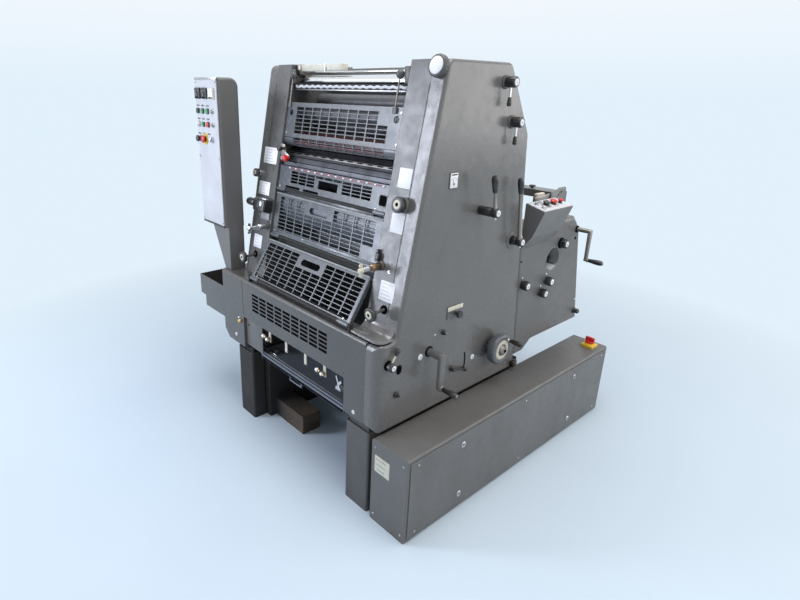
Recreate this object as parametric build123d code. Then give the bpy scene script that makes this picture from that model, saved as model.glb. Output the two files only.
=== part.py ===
from build123d import *
import os
from math import atan2, copysign, cos, degrees, hypot, radians, sin

# Single-colour sheet-fed offset printing press, as an assembly of named pieces, in millimetres.
# While it is modelled, X runs across the press (plus is the operator side), Y runs from the delivery
# to the feeder, and Z is up from the floor. At the end everything moves together so that the origin
# is under the middle of the whole press.

# Side frames and covers
FRAME_IN = 350            # half of the clear width between the side frames
FRAME_T = 100             # thickness of a side frame
COVER_T = 65              # thickness of a side cover
BOTTOM_Z = 370            # underside of frames and covers
LEDGE_Z = 720             # top of the low front cover
LEDGE_DEPTH = 85          # depth of the ledge in front of the frames
LEAN = 0.192              # how far the front leans back, per unit of height
TOP_Z = 1648              # top of the side frames
TOP_BACK_Y = 605          # rear end of the flat top
SHOULDER_Y = 757          # rear shoulder
SHOULDER_SHARE = 0.7328   # rear shoulder, as a share of the rise
BACK_FOOT_Y = 860         # rear edge at the underside
CORNER_R = 30             # rounded corners of the side outline
RIM_R = 12                # rounded outer rim of covers
FRONT_CORNER_R = 40       # rounded upright corner at the operator side's low front
SEAM = FRAME_IN + FRAME_T
COVER_OUT = SEAM + COVER_T
RISE = TOP_Z - LEDGE_Z    # the cylinder group and the guards take their heights from this
SHOULDER_Z = LEDGE_Z + SHOULDER_SHARE * RISE
LEAN_DEG = degrees(atan2(LEAN, 1))


def front_y(z):
    """Y of the leaning front plane at height z."""
    return LEDGE_DEPTH + LEAN * (z - LEDGE_Z)


def back_y(z):
    """Y of the frames' rear edge between the shoulder and the underside."""
    return SHOULDER_Y + (BACK_FOOT_Y - SHOULDER_Y) * (SHOULDER_Z - z) / (SHOULDER_Z - BOTTOM_Z)


# Feeder at the rear
FEED_T = 110              # thickness of a feeder side panel
FEED_STEP = 5             # feeder panels stand this far inside the main covers
FEED_RISE = 644           # top of the feeder over the frames' underside
FEED_LIFT = 90            # lower edge of the feeder over the frames' underside
FEED_STEP_LIFT = 48       # lower edge next to the main cover
FEED_STEP_LEN = 75        # length of that lower piece
FEED_LEN_BOTTOM = 552     # behind the frames' rear foot, at the lower edge
FEED_LEN_TOP = 440        # the same at the top
FEED_CORNER_R = 60
FEED_RIM_R = 18           # rounded outer rim of the feeder panels
FEED_HOLE_R, FEED_HOLE_DEEP = 58, 85      # round recess in the operator's feeder panel
FEED_HOLE_PAST, FEED_HOLE_DROP = 227, 177 # behind the frames' rear foot and below the top
FEED_OUT = COVER_OUT - FEED_STEP
FEED_IN = FEED_OUT - FEED_T
FEED_TOP_Z = BOTTOM_Z + FEED_RISE
FEED_BOTTOM_Z = BOTTOM_Z + FEED_LIFT
FEED_STEP_Z = BOTTOM_Z + FEED_STEP_LIFT
FEED_STEP_Y = BACK_FOOT_Y + FEED_STEP_LEN
FEED_BACK_BOTTOM_Y = BACK_FOOT_Y + FEED_LEN_BOTTOM
FEED_BACK_TOP_Y = BACK_FOOT_Y + FEED_LEN_TOP
FEED_HOLE_Y, FEED_HOLE_Z = BACK_FOOT_Y + FEED_HOLE_PAST, FEED_TOP_Z - FEED_HOLE_DROP

# Low front cover
SHEET = 6                 # sheet thickness of the front cover
FRONT_LEFT_IN = 47        # seam to the drive cover, inside the frame's outer face
FRONT_DROP = 190          # height of the cover over the delivery
FRONT_LUG_IN = 16         # inner edge of the long right end, inside the frame's inner face
FRONT_LUG_LIFT = 18       # that end's lower edge over the frames' underside
FRONT_EDGE_R = 14
VENT_LEFT, VENT_RIGHT = 34, 120   # vent field inside the frames' inner faces
VENT_DROP, VENT_TALL = 50, 82     # vent field below the ledge, and its height
VENT_COLS, VENT_ROWS = 9, 5
VENT_BAR, VENT_H = 12, 9
FRONT_LEFT_X = FRONT_LEFT_IN - SEAM
FRONT_OPEN_Z = LEDGE_Z - FRONT_DROP
FRONT_LUG_X = FRAME_IN - FRONT_LUG_IN
FRONT_LUG_Z = BOTTOM_Z + FRONT_LUG_LIFT
VENT_X0, VENT_X1 = VENT_LEFT - FRAME_IN, FRAME_IN - VENT_RIGHT
VENT_Z1 = LEDGE_Z - VENT_DROP
DRIVE_WIDER = 77          # the drive cover stands out from the side cover
DRIVE_BACK_IN = 10        # its rear end, before the frames' rear foot
DRIVE_CHAMFER = 40
DRIVE_OUT = COVER_OUT + DRIVE_WIDER
DRIVE_BACK_Y = BACK_FOOT_Y - DRIVE_BACK_IN

# Base
LEG_W = 130
LEG_OUT = 25              # outer face of legs and base walls, outside the frames
LEG_FRONT_Y = 5
LEG_BACK_GAP = 10         # rear face of the legs, before the frames' front
LEG_NECK = 12             # how far the leg's neck stands in
LEG_NECK_H = 15
LEG_R = 10
WALL_T = 165              # thickness of a base wall
WALL_PAST = 90            # base walls reach behind the frames' rear foot
TIE_IN, TIE_T = 50, 60    # cross tie before the walls' rear end, and its thickness
TIE_Z0, TIE_DROP = 40, 40 # its lower edge, and its top below the frames
BEAM_LEN = 225
BEAM_W = 100
BEAM_BEHIND = 35          # beam behind the legs
BEAM_H = 94
BEAM_WALL = 8
LEG_X1 = SEAM + LEG_OUT
LEG_X0 = LEG_X1 - LEG_W
LEG_BACK_Y = LEDGE_DEPTH - LEG_BACK_GAP
LEG_TOP_Z = BOTTOM_Z - LEG_NECK_H
WALL_IN = LEG_X1 - WALL_T
WALL_BACK_Y = BACK_FOOT_Y + WALL_PAST
BEAM_END_X = BEAM_LEN - WALL_IN
BEAM_Y0 = LEG_BACK_Y + BEAM_BEHIND
BEAM_Y1 = BEAM_Y0 + BEAM_W

# Electrical cabinet on the operator side
CAB_GAP = 26              # between the base wall and the cabinet
CAB_W = 179
CAB_LEN = 1430
CAB_H = 357
CAB_R = 8
DOOR_T = 3
DOOR_MARGIN = 14
BRACKET_AT = (0.21, 0.545)   # shares of the cabinet's length
BRACKET_LEN = 90
BRACKET_LIFT, BRACKET_H = 90, 150
SWITCH_IN = 59            # switch axis from the cabinet's outer face
SWITCH_BACK = 65          # switch axis from the cabinet's rear end
SWITCH_BASE = 60
SWITCH_BASE_H = 18
SWITCH_R = 22
SWITCH_H = 22
SWITCH_GAP = 0.3
CAB_X0 = LEG_X1 + CAB_GAP
CAB_X1 = CAB_X0 + CAB_W
SWITCH_X, SWITCH_Y = CAB_X1 - SWITCH_IN, CAB_LEN - SWITCH_BACK

# Control console on the drive side
CON_IN = 52               # inner face, inside the drive cover's outer face
CON_W = 212
CON_DEPTH = 104
CON_LIFT = 210            # underside of the console over the ledge
CON_H = 662
CON_R = 12
CON_TOP_R = 40
CON_FRONT_Y = 4
FACE_T = 4
FACE_MARGIN = 6
PED_FRONT_Y, PED_BACK_Y = 22, 100
PED_IN = 52               # pedestal's outer top corner from the console's outer face
METER = 46
METER_D = 10
METER_DROP = 64           # meters below the console's top
METER_AT = (36, 90, 144)  # from the console's outer face
BUTTON_R = 13
BUTTON_D = 14
BUTTON_DROPS = (137, 200, 262)
BUTTON_AT = (36, 84, 132)
CON_X1 = CON_IN - DRIVE_OUT
CON_X0 = CON_X1 - CON_W
CON_Z0 = LEDGE_Z + CON_LIFT
CON_Z1 = CON_Z0 + CON_H

# Tool tray on the drive side and pad on the ledge
TRAY_W = 250
TRAY_LOW_W = 200          # width of the tray's deeper part
TRAY_DROP = 92            # rim below the ledge
TRAY_H, TRAY_STEP_H = 161, 104
TRAY_DEPTH = 220
TRAY_T = 3
PAD_LUG_GAP, PAD_SEAM_GAP = 4, 4  # deep part, from the lowest guard's lug to just before the seam
PAD_END_IN = 20           # its shallow end, inside the side cover's outer face
PAD_Y0, PAD_BACK_GAP = 12, 5
PAD_COVE_GAP = 2          # its shallow end before the cove at the foot of the cover's front
PAD_H = 10
PAD_R = 12
PAD_RIM = 5
PAD_RECESS = 3
TRAY_X0 = -DRIVE_OUT - TRAY_W
TRAY_STEP_X = -DRIVE_OUT - TRAY_LOW_W
TRAY_Z1 = LEDGE_Z - TRAY_DROP
TRAY_Z0 = TRAY_Z1 - TRAY_H
TRAY_STEP_Z = TRAY_Z1 - TRAY_STEP_H
PAD_X1 = SEAM - PAD_SEAM_GAP
PAD_Y1 = LEDGE_DEPTH - PAD_BACK_GAP
PAD_END_X = COVER_OUT - PAD_END_IN
PAD_END_Y = LEDGE_DEPTH - CORNER_R - PAD_COVE_GAP

# Cylinders and rollers, in shares of the rise where they fill it
CYL_R = 0.0927 * RISE
CYL_GAP = 1.2             # running gap between neighbouring cylinders
CYL_BEHIND = 22           # from the guard plane to the cylinder surface
BLANKET_Z = LEDGE_Z + 0.361 * RISE
IMPRESSION_ANGLE = 46     # below the horizontal, seen from the blanket cylinder
END_GAP = 4               # from a cylinder's end to the side frame
JOURNAL_R = 0.0237 * RISE
ROLLER_JOURNAL_R = 0.0108 * RISE
JOURNAL_LEN = 40          # engaged in each side frame
JOURNAL_CLEAR = 0.05
CLAMP_W, CLAMP_D = 34, 14 # channel along the plate cylinder
INK_R = 0.0323 * RISE
INK_ANGLE = 7             # ahead of the vertical, seen from the plate cylinder
INK_GAP = 0.7
CHROME_R = 0.0237 * RISE
CHROME_Z = TOP_Z - 0.0711 * RISE
CHROME_BEHIND = 61        # water roller's axis behind the front plane
PAN_T = 4
PAN_GAP = 0.013 * RISE    # between the water roller and the pan
ROD_R = 5
ROD_PAST = 0.0539 * RISE  # tie rod behind the water roller
ROD_Z = TOP_Z - 0.0334 * RISE
TRAIN_R = 0.0345 * RISE   # inking rollers inside
TRAIN_BEHIND = (105, 196, 195, 277, 277)       # behind the front plane
TRAIN_DROP = (0.2155, 0.2672, 0.1595, 0.2241, 0.111)   # shares of the rise below the top
CHROME_Y = front_y(CHROME_Z) + CHROME_BEHIND
ROD_Y = CHROME_Y + ROD_PAST

# Guards
GUARD_T = 4
GUARD_SIDE = 6            # from a guard's end to the side frame
HINGE_R = 6
HINGE_CLEAR = 0.1
KNUCKLE_R = 9
KNUCKLE_LEN = 60
HINGE_BEHIND = 11         # hinge line behind the front plane of the frames
SLOT_BAR_X = 6            # bars between the slots
SLOT_BAR_Z = 0.0035 * RISE
GUARD_BORDER = 0.0194 * RISE
GUARD_AIR = 0.0162 * RISE # from a guard's top edge to the next hinge line
DEL_COLS, DEL_ROWS = 11, 9
DEL_HINGE_Y = 15
DEL_HINGE_LIFT = 21       # lowest hinge line over the ledge
DEL_IN = 10               # lowest guard stands inside the frames
DEL_LUG_T = 8
BLANKET_COLS, BLANKET_ROWS = 10, 10
PLATE_COLS, PLATE_ROWS = 9, 4
PLATE_SIDE = 88           # plain ends of the plate guard
PLATE_FOOT = 0.0377 * RISE        # plain band over its hinge
TOP_COLS, TOP_ROWS = 10, 7
TOP_SIDE = 70             # plain ends of the top guard
TOP_HOLE_R, TOP_HOLE_IN, TOP_HOLE_DROP = 13, 32, 42
HAND_W = 124
HAND_H = 0.0291 * RISE
PLATE_HAND_H = 0.0366 * RISE
DEL_HINGE_Z = LEDGE_Z + DEL_HINGE_LIFT
DEL_TOP_Z = LEDGE_Z + 0.2 * RISE
DEL_TOP_Y = front_y(DEL_TOP_Z)
DEL_HALF = FRAME_IN - DEL_IN
DEL_LUG_X = DEL_HALF + GUARD_SIDE
PAD_X0 = DEL_LUG_X + DEL_LUG_T + PAD_LUG_GAP
BLANKET_HINGE_Z = LEDGE_Z + 0.22 * RISE
PLATE_HINGE_Z = LEDGE_Z + 0.442 * RISE
PLATE_TOP_Z = LEDGE_Z + 0.5515 * RISE
TOP_GUARD_Z0 = LEDGE_Z + 0.681 * RISE
TOP_GUARD_Z1 = LEDGE_Z + 0.835 * RISE

# Delivery pile
BOARD_LIFT = 15           # board over the frames' underside
BOARD_T = 22
BOARD_FRONT_Y, BOARD_LEN = 30, 450
BOARD_LIP = 30
BOARD_LIP_DROP = 16
RAIL_T = 8
RAIL_BACK, RAIL_W = 155, 40       # rails behind the legs, and their width
RAIL_Z0, RAIL_PAST = 10, 130      # foot of the rails, and their end over the frames' underside
RAIL_CLEAR = 0.3
BAIL_X = -45
BAIL_W = 84
BAIL_DROP = 30
BAIL_R = 4
GUIDE_AT = (-0.57, -0.2, 0.2, 0.57)   # shares of the frames' half width
GUIDE_W, GUIDE_T = 16, 4
GUIDE_DROP = 60           # guides hang below the front cover
GUIDE_BAR_LIFT, GUIDE_BAR_H = 15, 20
GUIDE_BAR_D = 12
JOG_IN = 60               # jogger plates inside the frames
JOG_T = 6
JOG_Y0, JOG_LEN = 150, 250
JOG_LIFT, JOG_H = 110, 80
JOG_ROD_R = 8
BOARD_TOP_Z = BOTTOM_Z + BOARD_LIFT
BOARD_BACK_Y = BOARD_FRONT_Y + BOARD_LEN
RAIL_Y0 = LEG_BACK_Y + RAIL_BACK
RAIL_Z1 = BOTTOM_Z + RAIL_PAST
GUIDE_Z0 = FRONT_OPEN_Z - GUIDE_DROP
GUIDE_BAR_Z0 = FRONT_OPEN_Z + GUIDE_BAR_LIFT
GUIDE_BAR_Z1 = GUIDE_BAR_Z0 + GUIDE_BAR_H
JOG_X = FRAME_IN - JOG_IN
JOG_Y1 = JOG_Y0 + JOG_LEN
JOG_Z0 = BOTTOM_Z + JOG_LIFT
JOG_Z1 = JOG_Z0 + JOG_H

# Feeder inside
FEED_BOARD_T = 12
FEED_BOARD_GAP = 7        # from the impression cylinder
FEED_BOARD_UP = 35        # front end over the impression cylinder's axis
FEED_BOARD_PAST = 150     # rear end behind the frames' rear foot
FEED_BOARD_DROP = 14      # rear end below the feeder's top
PILE_AT, PILE_BACK_GAP = 170, 17
PILE_LIFT = 60            # pile board over the feeder's lower edge
PILE_T = 24
HEAD_AT, HEAD_D = 290, 80
HEAD_POST_W = 36
HEAD_LIFT, HEAD_H = 74, 34
HEAD_BLOCK_W, HEAD_BLOCK_L, HEAD_BLOCK_H = 260, 150, 70
SUCKER_R, SUCKER_LEN = 12, 70
REAR_T = 8
REAR_IN = 20              # rear cover stands in from the frames' rear edge
REAR_SHARE = 0.18         # its lower edge, as a share of the way from the feed board to the shoulder
REAR_DROP = 5             # its upper edge below the shoulder
CROSS_IN, CROSS_T = 240, 25       # cross wall before the frames' rear foot, and its thickness
CROSS_H = 530
FOUNT_BACK_GAP = 15
FOUNT_DROP = 12
FOUNT_SHARE = 0.44        # where it starts, between the tie rod and the rear end of the top
FEED_BOARD_Y1 = BACK_FOOT_Y + FEED_BOARD_PAST
FEED_BOARD_Z1 = FEED_TOP_Z - FEED_BOARD_DROP
PILE_Y0 = BACK_FOOT_Y + PILE_AT
PILE_Y1 = FEED_BACK_BOTTOM_Y - PILE_BACK_GAP
PILE_TOP_Z = FEED_BOTTOM_Z + PILE_LIFT
HEAD_Y0 = BACK_FOOT_Y + HEAD_AT
HEAD_Y1 = HEAD_Y0 + HEAD_D
HEAD_BAR_Z0 = FEED_TOP_Z + HEAD_LIFT
HEAD_BAR_Z1 = HEAD_BAR_Z0 + HEAD_H
CROSS_Y0 = BACK_FOOT_Y - CROSS_IN
CROSS_Y1 = CROSS_Y0 + CROSS_T
CROSS_Z1 = BOTTOM_Z + CROSS_H
FOUNT_Y0 = ROD_Y + FOUNT_SHARE * (TOP_BACK_Y - ROD_Y)
FOUNT_Y1 = TOP_BACK_Y - FOUNT_BACK_GAP
FOUNT_Z1 = TOP_Z - FOUNT_DROP
FOUNT_Z0 = TOP_Z - 0.0625 * RISE

# Operator side controls
WHEEL_IN, WHEEL_LIFT = 200, 165   # axis before the frames' rear foot and over their underside
WHEEL_R, WHEEL_T = 66, 34
WHEEL_FRONT = 62          # front of the wheel from the cover
WHEEL_SHAFT_R = 14
SHAFT_IN = 40             # control shafts reach this far into the cover
SHAFT_CLEAR = 0.05
WHEEL_GRIP_R, WHEEL_GRIP_LEN = 11, 66
WHEEL_GRIP_AT = 50
CRANK_OUT = 72            # outer face of a crank arm from the cover
CRANK_ARM_T = 14
DCRANK_SHAFT_R, DCRANK_ARM_W = 15, 28
FCRANK_SHAFT_R, FCRANK_ARM_W = 10, 22
CRANK_GRIP_R, CRANK_GRIP_LEN = 12, 78
DCRANK_Y, DCRANK_LIFT, DCRANK_ARM = 262, 260, 125
FCRANK_IN, FCRANK_DROP, FCRANK_ARM = 28, 66, 135
LEVER_SHAFT_R = 8
LEVER_HUB_R = 15
LEVER_ARM_R = 6
LEVER_GRIP_R = 11
LEVER_GRIP_LEN = 58
LEVER_STUB = 24
LEVER_LEAN = 10           # degrees forward at rest
LEVER_GAP = 0.3
PRESS_LEVER_Y, PRESS_LEVER_ARM, PRESS_LEVER_OUT = 492, 138, 82
AIR_LEVER_IN, AIR_LEVER_ARM, AIR_LEVER_OUT = 72, 262, 52
KNOB_R, KNOB_LEN = 19, 46
KNOB_ROD_R, KNOB_ROD_LEN = 4, 62
KNOB_GRIP_R = 8
REGISTER_BACK = (-35, 27)         # register knobs from the rear end of the top
REGISTER_DROP = (65, 201)
FEED_KNOB_R, FEED_KNOB_LEN = 21, 32
FEED_KNOB_PAST = (280, -3, 195, 157)      # feeder knobs behind the frames' rear foot
FEED_KNOB_DROP = (111, 252, 274, 323)     # and below the feeder's top
GAUGE_BEHIND, GAUGE_W, GAUGE_H, GAUGE_T = 136, 44, 56, 4
PLATE_BEHIND, PLATE_LIFT, PLATE_W, PLATE_H, PLATE_T = 304, 39, 92, 50, 4
PLATE_KNOB_R, PLATE_KNOB_LEN = 14, 26
SIDE_KNOB_Y, SIDE_KNOB_DROP, SIDE_KNOB_R, SIDE_KNOB_LEN = 48, 78, 17, 30
FCON_GAP = 3              # between the feeder console and the main cover
FCON_LEN = 220
FCON_DROP, FCON_RISE_IN, FCON_RISE_OUT = 84, 110, 88
FCON_OUT_TOP, FCON_OUT_MID, FCON_MID_DROP = 88, 46, 24
FCON_BUTTON_R, FCON_BUTTON_H = 16, 20
FCON_BUTTON_AT = (75, 130)   # from the front end of the feeder console
WHEEL_Y, WHEEL_Z = BACK_FOOT_Y - WHEEL_IN, BOTTOM_Z + WHEEL_LIFT
DCRANK_Z = BOTTOM_Z + DCRANK_LIFT
FCRANK_Y, FCRANK_Z = FEED_BACK_TOP_Y - FCRANK_IN, FEED_TOP_Z - FCRANK_DROP
PRESS_LEVER_Z = LEDGE_Z + 0.4504 * RISE
AIR_LEVER_Z = LEDGE_Z + 0.2856 * RISE
AIR_LEVER_Y = back_y(AIR_LEVER_Z) - AIR_LEVER_IN
REGISTER_KNOBS = [(TOP_BACK_Y + y, TOP_Z - z) for y, z in zip(REGISTER_BACK, REGISTER_DROP)]
FEED_KNOBS = [(BACK_FOOT_Y + y, FEED_TOP_Z - z) for y, z in zip(FEED_KNOB_PAST, FEED_KNOB_DROP)]
GAUGE_Z = LEDGE_Z + 0.583 * RISE
GAUGE_Y = front_y(GAUGE_Z) + GAUGE_BEHIND
PLATE_CTRL_Z = LEDGE_Z + PLATE_LIFT
PLATE_Y = front_y(PLATE_CTRL_Z) + PLATE_BEHIND
SIDE_KNOB_Z = LEDGE_Z - SIDE_KNOB_DROP
FCON_Z0, FCON_MID_Z = FEED_TOP_Z - FCON_DROP, FEED_TOP_Z - FCON_MID_DROP
FCON_TOP_IN, FCON_TOP_OUT = FEED_TOP_Z + FCON_RISE_IN, FEED_TOP_Z + FCON_RISE_OUT
FCON_Y0 = back_y(FCON_Z0) + FCON_GAP

# Front strip controls
BIG_KNOB_PAST, BIG_KNOB_DROP, BIG_KNOB_R, BIG_KNOB_LEN = 32, 25, 36, 24
STRIP_KNOB_LEN = 36
STRIP_KNOB_R = (28, 19)   # upper knobs of the operator and the drive side
STRIP_KNOB_AT = (83, -132)        # from the frames' inner faces
STRIP_KNOB_Z = LEDGE_Z + 0.495 * RISE
STALK_R, STALK_LEN = 6, 57        # lower knobs, on stalks
STALK_KNOB_R, STALK_KNOB_LEN = 22, 18
STALK_AT = (79, -92)
STALK_DROP = 20           # degrees below the horizontal
STALK_Z = LEDGE_Z + 0.098 * RISE
CLAMP_OUT, CLAMP_R, CLAMP_LEN = 26, 9, 102
WING_W, WING_H, WING_T = 12, 44, 10
CLAMP_X = FRAME_IN + CLAMP_OUT
CLAMP_Z = LEDGE_Z + 0.2554 * RISE
BIG_KNOB_X, BIG_KNOB_Z = SEAM + BIG_KNOB_PAST, TOP_Z - BIG_KNOB_DROP


def block(x0, x1, y0, y1, z0, z1):
    """Box between two corners."""
    return Pos((x0 + x1) / 2, (y0 + y1) / 2, (z0 + z1) / 2) * Box(abs(x1 - x0), abs(y1 - y0), abs(z1 - z0))


def rod_x(r, x0, x1, y, z):
    """Cylinder along X."""
    return Pos((x0 + x1) / 2, y, z) * Rot(0, 90, 0) * Cylinder(r, abs(x1 - x0))


def rod_y(r, x, y0, y1, z):
    """Cylinder along Y."""
    return Pos(x, (y0 + y1) / 2, z) * Rot(90, 0, 0) * Cylinder(r, abs(y1 - y0))


def rod_z(r, x, y, z0, z1):
    """Cylinder along Z."""
    return Pos(x, y, (z0 + z1) / 2) * Cylinder(r, abs(z1 - z0))


def prism_yz(points, x0, x1, radius=0):
    """Outline in Y and Z, drawn out along X, with rounded corners."""
    face = make_face(Polyline(*points, close=True))
    if radius:
        face = fillet(face.vertices(), radius)
    return extrude(Plane.YZ.offset(x0) * face, x1 - x0)


def prism_xz(points, y0, y1):
    """Outline in X and Z, drawn out along Y."""
    face = make_face(Polyline(*points, close=True))
    return extrude(Plane.XZ.offset(-y0) * face, -(y1 - y0))


def round_rim(solid, side, radius):
    """Round the rim of the face at the far end in X."""
    face = solid.faces().sort_by(Axis.X)[-1 if side > 0 else 0]
    return fillet(face.edges(), radius)


# Cylinder and roller axes
BLANKET_AXIS = (front_y(BLANKET_Z) + CYL_BEHIND + CYL_R, BLANKET_Z)
PLATE_AXIS = (
    BLANKET_AXIS[0] + (2 * CYL_R + CYL_GAP) * sin(radians(LEAN_DEG)),
    BLANKET_AXIS[1] + (2 * CYL_R + CYL_GAP) * cos(radians(LEAN_DEG)),
)
IMPRESSION_AXIS = (
    BLANKET_AXIS[0] + (2 * CYL_R + CYL_GAP) * cos(radians(IMPRESSION_ANGLE)),
    BLANKET_AXIS[1] - (2 * CYL_R + CYL_GAP) * sin(radians(IMPRESSION_ANGLE)),
)
INK_AXIS = (
    PLATE_AXIS[0] - (CYL_R + INK_R + INK_GAP) * sin(radians(INK_ANGLE)),
    PLATE_AXIS[1] + (CYL_R + INK_R + INK_GAP) * cos(radians(INK_ANGLE)),
)
CHROME_AXIS = (CHROME_Y, CHROME_Z)
FEED_BOARD_Y0 = IMPRESSION_AXIS[0] + CYL_R + FEED_BOARD_GAP
FEED_BOARD_Z0 = IMPRESSION_AXIS[1] + FEED_BOARD_UP
FEED_SLOPE = (FEED_BOARD_Z1 - FEED_BOARD_Z0) / (FEED_BOARD_Y1 - FEED_BOARD_Y0)
REAR_FOOT_Z = FEED_BOARD_Z0 + FEED_SLOPE * (SHOULDER_Y - FEED_BOARD_Y0)
REAR_Z0 = REAR_FOOT_Z + REAR_SHARE * (SHOULDER_Z - REAR_FOOT_Z)
REAR_Z1 = SHOULDER_Z - REAR_DROP
TRAIN_Z = [TOP_Z - drop * RISE for drop in TRAIN_DROP]
TRAIN = [(front_y(z) + behind, z) for behind, z in zip(TRAIN_BEHIND, TRAIN_Z)]
JOURNALS = (
    (PLATE_AXIS, JOURNAL_R),
    (BLANKET_AXIS, JOURNAL_R),
    (IMPRESSION_AXIS, JOURNAL_R),
    (INK_AXIS, ROLLER_JOURNAL_R),
    (CHROME_AXIS, ROLLER_JOURNAL_R),
)

MAIN_OUTLINE = [
    (LEDGE_DEPTH, BOTTOM_Z),
    (LEDGE_DEPTH, LEDGE_Z),
    (front_y(TOP_Z), TOP_Z),
    (TOP_BACK_Y, TOP_Z),
    (SHOULDER_Y, SHOULDER_Z),
    (BACK_FOOT_Y, BOTTOM_Z),
]
OPERATOR_OUTLINE = [(0, BOTTOM_Z), (0, LEDGE_Z)] + MAIN_OUTLINE[1:]
FEED_OUTLINE = [
    (back_y(FEED_STEP_Z), FEED_STEP_Z),
    (back_y(FEED_TOP_Z), FEED_TOP_Z),
    (FEED_BACK_TOP_Y - FEED_CORNER_R, FEED_TOP_Z),
    (FEED_BACK_TOP_Y, FEED_TOP_Z - FEED_CORNER_R),
    (FEED_BACK_BOTTOM_Y, FEED_BOTTOM_Z),
    (FEED_STEP_Y + FEED_CORNER_R, FEED_BOTTOM_Z),
    (FEED_STEP_Y, FEED_STEP_Z),
]


def side_frame(side):
    """Solid side frame with bores for the journals."""
    x0, x1 = sorted((side * FRAME_IN, side * SEAM))
    frame = prism_yz(MAIN_OUTLINE, x0, x1)
    for (y, z), r in JOURNALS:
        frame -= rod_x(r + JOURNAL_CLEAR, side * FRAME_IN, side * (FRAME_IN + JOURNAL_LEN + END_GAP), y, z)
    return frame


def shaft_bore(r, side, outer, y, z):
    """Bore for a control shaft, open at the outer face."""
    return rod_x(r + SHAFT_CLEAR, side * outer, side * (outer - SHAFT_IN - END_GAP), y, z)


def front_corner():
    """What the rounded upright corner takes off the operator side's low front."""
    square = block(COVER_OUT - FRONT_CORNER_R, 2 * COVER_OUT, -FRONT_CORNER_R, FRONT_CORNER_R, 0, LEDGE_Z)
    return square - rod_z(FRONT_CORNER_R, COVER_OUT - FRONT_CORNER_R, FRONT_CORNER_R, 0, LEDGE_Z)


def side_cover(side):
    """Outer cover; the operator side reaches forward to the low front."""
    x0, x1 = sorted((side * SEAM, side * COVER_OUT))
    cover = prism_yz(OPERATOR_OUTLINE if side > 0 else MAIN_OUTLINE, x0, x1, CORNER_R)
    cover = round_rim(cover, side, RIM_R)
    if side > 0:
        cover -= front_corner()
        cover -= shaft_bore(WHEEL_SHAFT_R, side, COVER_OUT, WHEEL_Y, WHEEL_Z)
        cover -= shaft_bore(DCRANK_SHAFT_R, side, COVER_OUT, DCRANK_Y, DCRANK_Z)
        cover -= shaft_bore(LEVER_SHAFT_R, side, COVER_OUT, PRESS_LEVER_Y, PRESS_LEVER_Z)
        cover -= shaft_bore(LEVER_SHAFT_R, side, COVER_OUT, AIR_LEVER_Y, AIR_LEVER_Z)
    return cover


def feeder_panel(side):
    """Side panel of the feeder behind the main cover."""
    x0, x1 = sorted((side * FEED_IN, side * FEED_OUT))
    panel = round_rim(prism_yz(FEED_OUTLINE, x0, x1), side, FEED_RIM_R)
    if side > 0:
        panel -= shaft_bore(FCRANK_SHAFT_R, side, FEED_OUT, FCRANK_Y, FCRANK_Z)
        panel -= rod_x(FEED_HOLE_R, FEED_OUT - FEED_HOLE_DEEP, FEED_OUT, FEED_HOLE_Y, FEED_HOLE_Z)
    return panel


def front_cover():
    """Vented sheet in front of the delivery, with its top ledge."""
    outline = [
        (FRONT_LEFT_X, FRONT_OPEN_Z),
        (FRONT_LEFT_X, LEDGE_Z),
        (SEAM, LEDGE_Z),
        (SEAM, FRONT_LUG_Z),
        (FRONT_LUG_X, FRONT_LUG_Z),
        (FRONT_LUG_X, FRONT_OPEN_Z),
    ]
    cover = prism_xz(outline, 0, SHEET)
    cover += block(FRONT_LEFT_X, SEAM, 0, LEDGE_DEPTH, LEDGE_Z - SHEET, LEDGE_Z)
    top_edge = cover.edges().filter_by(Axis.X).group_by(Axis.Z)[-1].sort_by(Axis.Y)[0]
    cover = fillet(top_edge, FRONT_EDGE_R)
    width = (VENT_X1 - VENT_X0 - (VENT_COLS - 1) * VENT_BAR) / VENT_COLS
    pitch_z = (VENT_TALL - VENT_H) / (VENT_ROWS - 1)
    for i in range(VENT_COLS):
        x = VENT_X0 + i * (width + VENT_BAR)
        for j in range(VENT_ROWS):
            z = VENT_Z1 - j * pitch_z
            cover -= block(x, x + width, -SHEET, 2 * SHEET, z - VENT_H, z)
    return cover


def drive_cover():
    """Wider low cover on the drive side; it wraps round the front."""
    front = block(-DRIVE_OUT, FRONT_LEFT_X, 0, LEDGE_DEPTH, BOTTOM_Z, LEDGE_Z)
    side = block(-DRIVE_OUT, -COVER_OUT, LEDGE_DEPTH, DRIVE_BACK_Y, BOTTOM_Z, LEDGE_Z)
    cover = front + side
    outer = cover.faces().sort_by(Axis.X)[0]
    lower = outer.edges().sort_by(Axis.Z)[0]
    cover = chamfer(lower, DRIVE_CHAMFER)
    top_edge = cover.edges().filter_by(Axis.X).group_by(Axis.Y)[0].sort_by(Axis.Z)[-1]
    return fillet(top_edge, FRONT_EDGE_R)


def front_leg(side):
    """Square front leg with a narrower neck under the cover."""
    leg = block(side * LEG_X0, side * LEG_X1, LEG_FRONT_Y, LEG_BACK_Y, 0, LEG_TOP_Z)
    leg = fillet(leg.edges().filter_by(Axis.Z), LEG_R)
    neck = block(
        side * (LEG_X0 + LEG_NECK), side * (LEG_X1 - LEG_NECK),
        LEG_FRONT_Y + LEG_NECK, LEG_BACK_Y, LEG_TOP_Z, BOTTOM_Z,
    )
    return leg + neck


def base_wall(side):
    """Cast wall that carries a side frame."""
    return block(side * WALL_IN, side * LEG_X1, LEG_BACK_Y, WALL_BACK_Y, 0, BOTTOM_Z)


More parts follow.
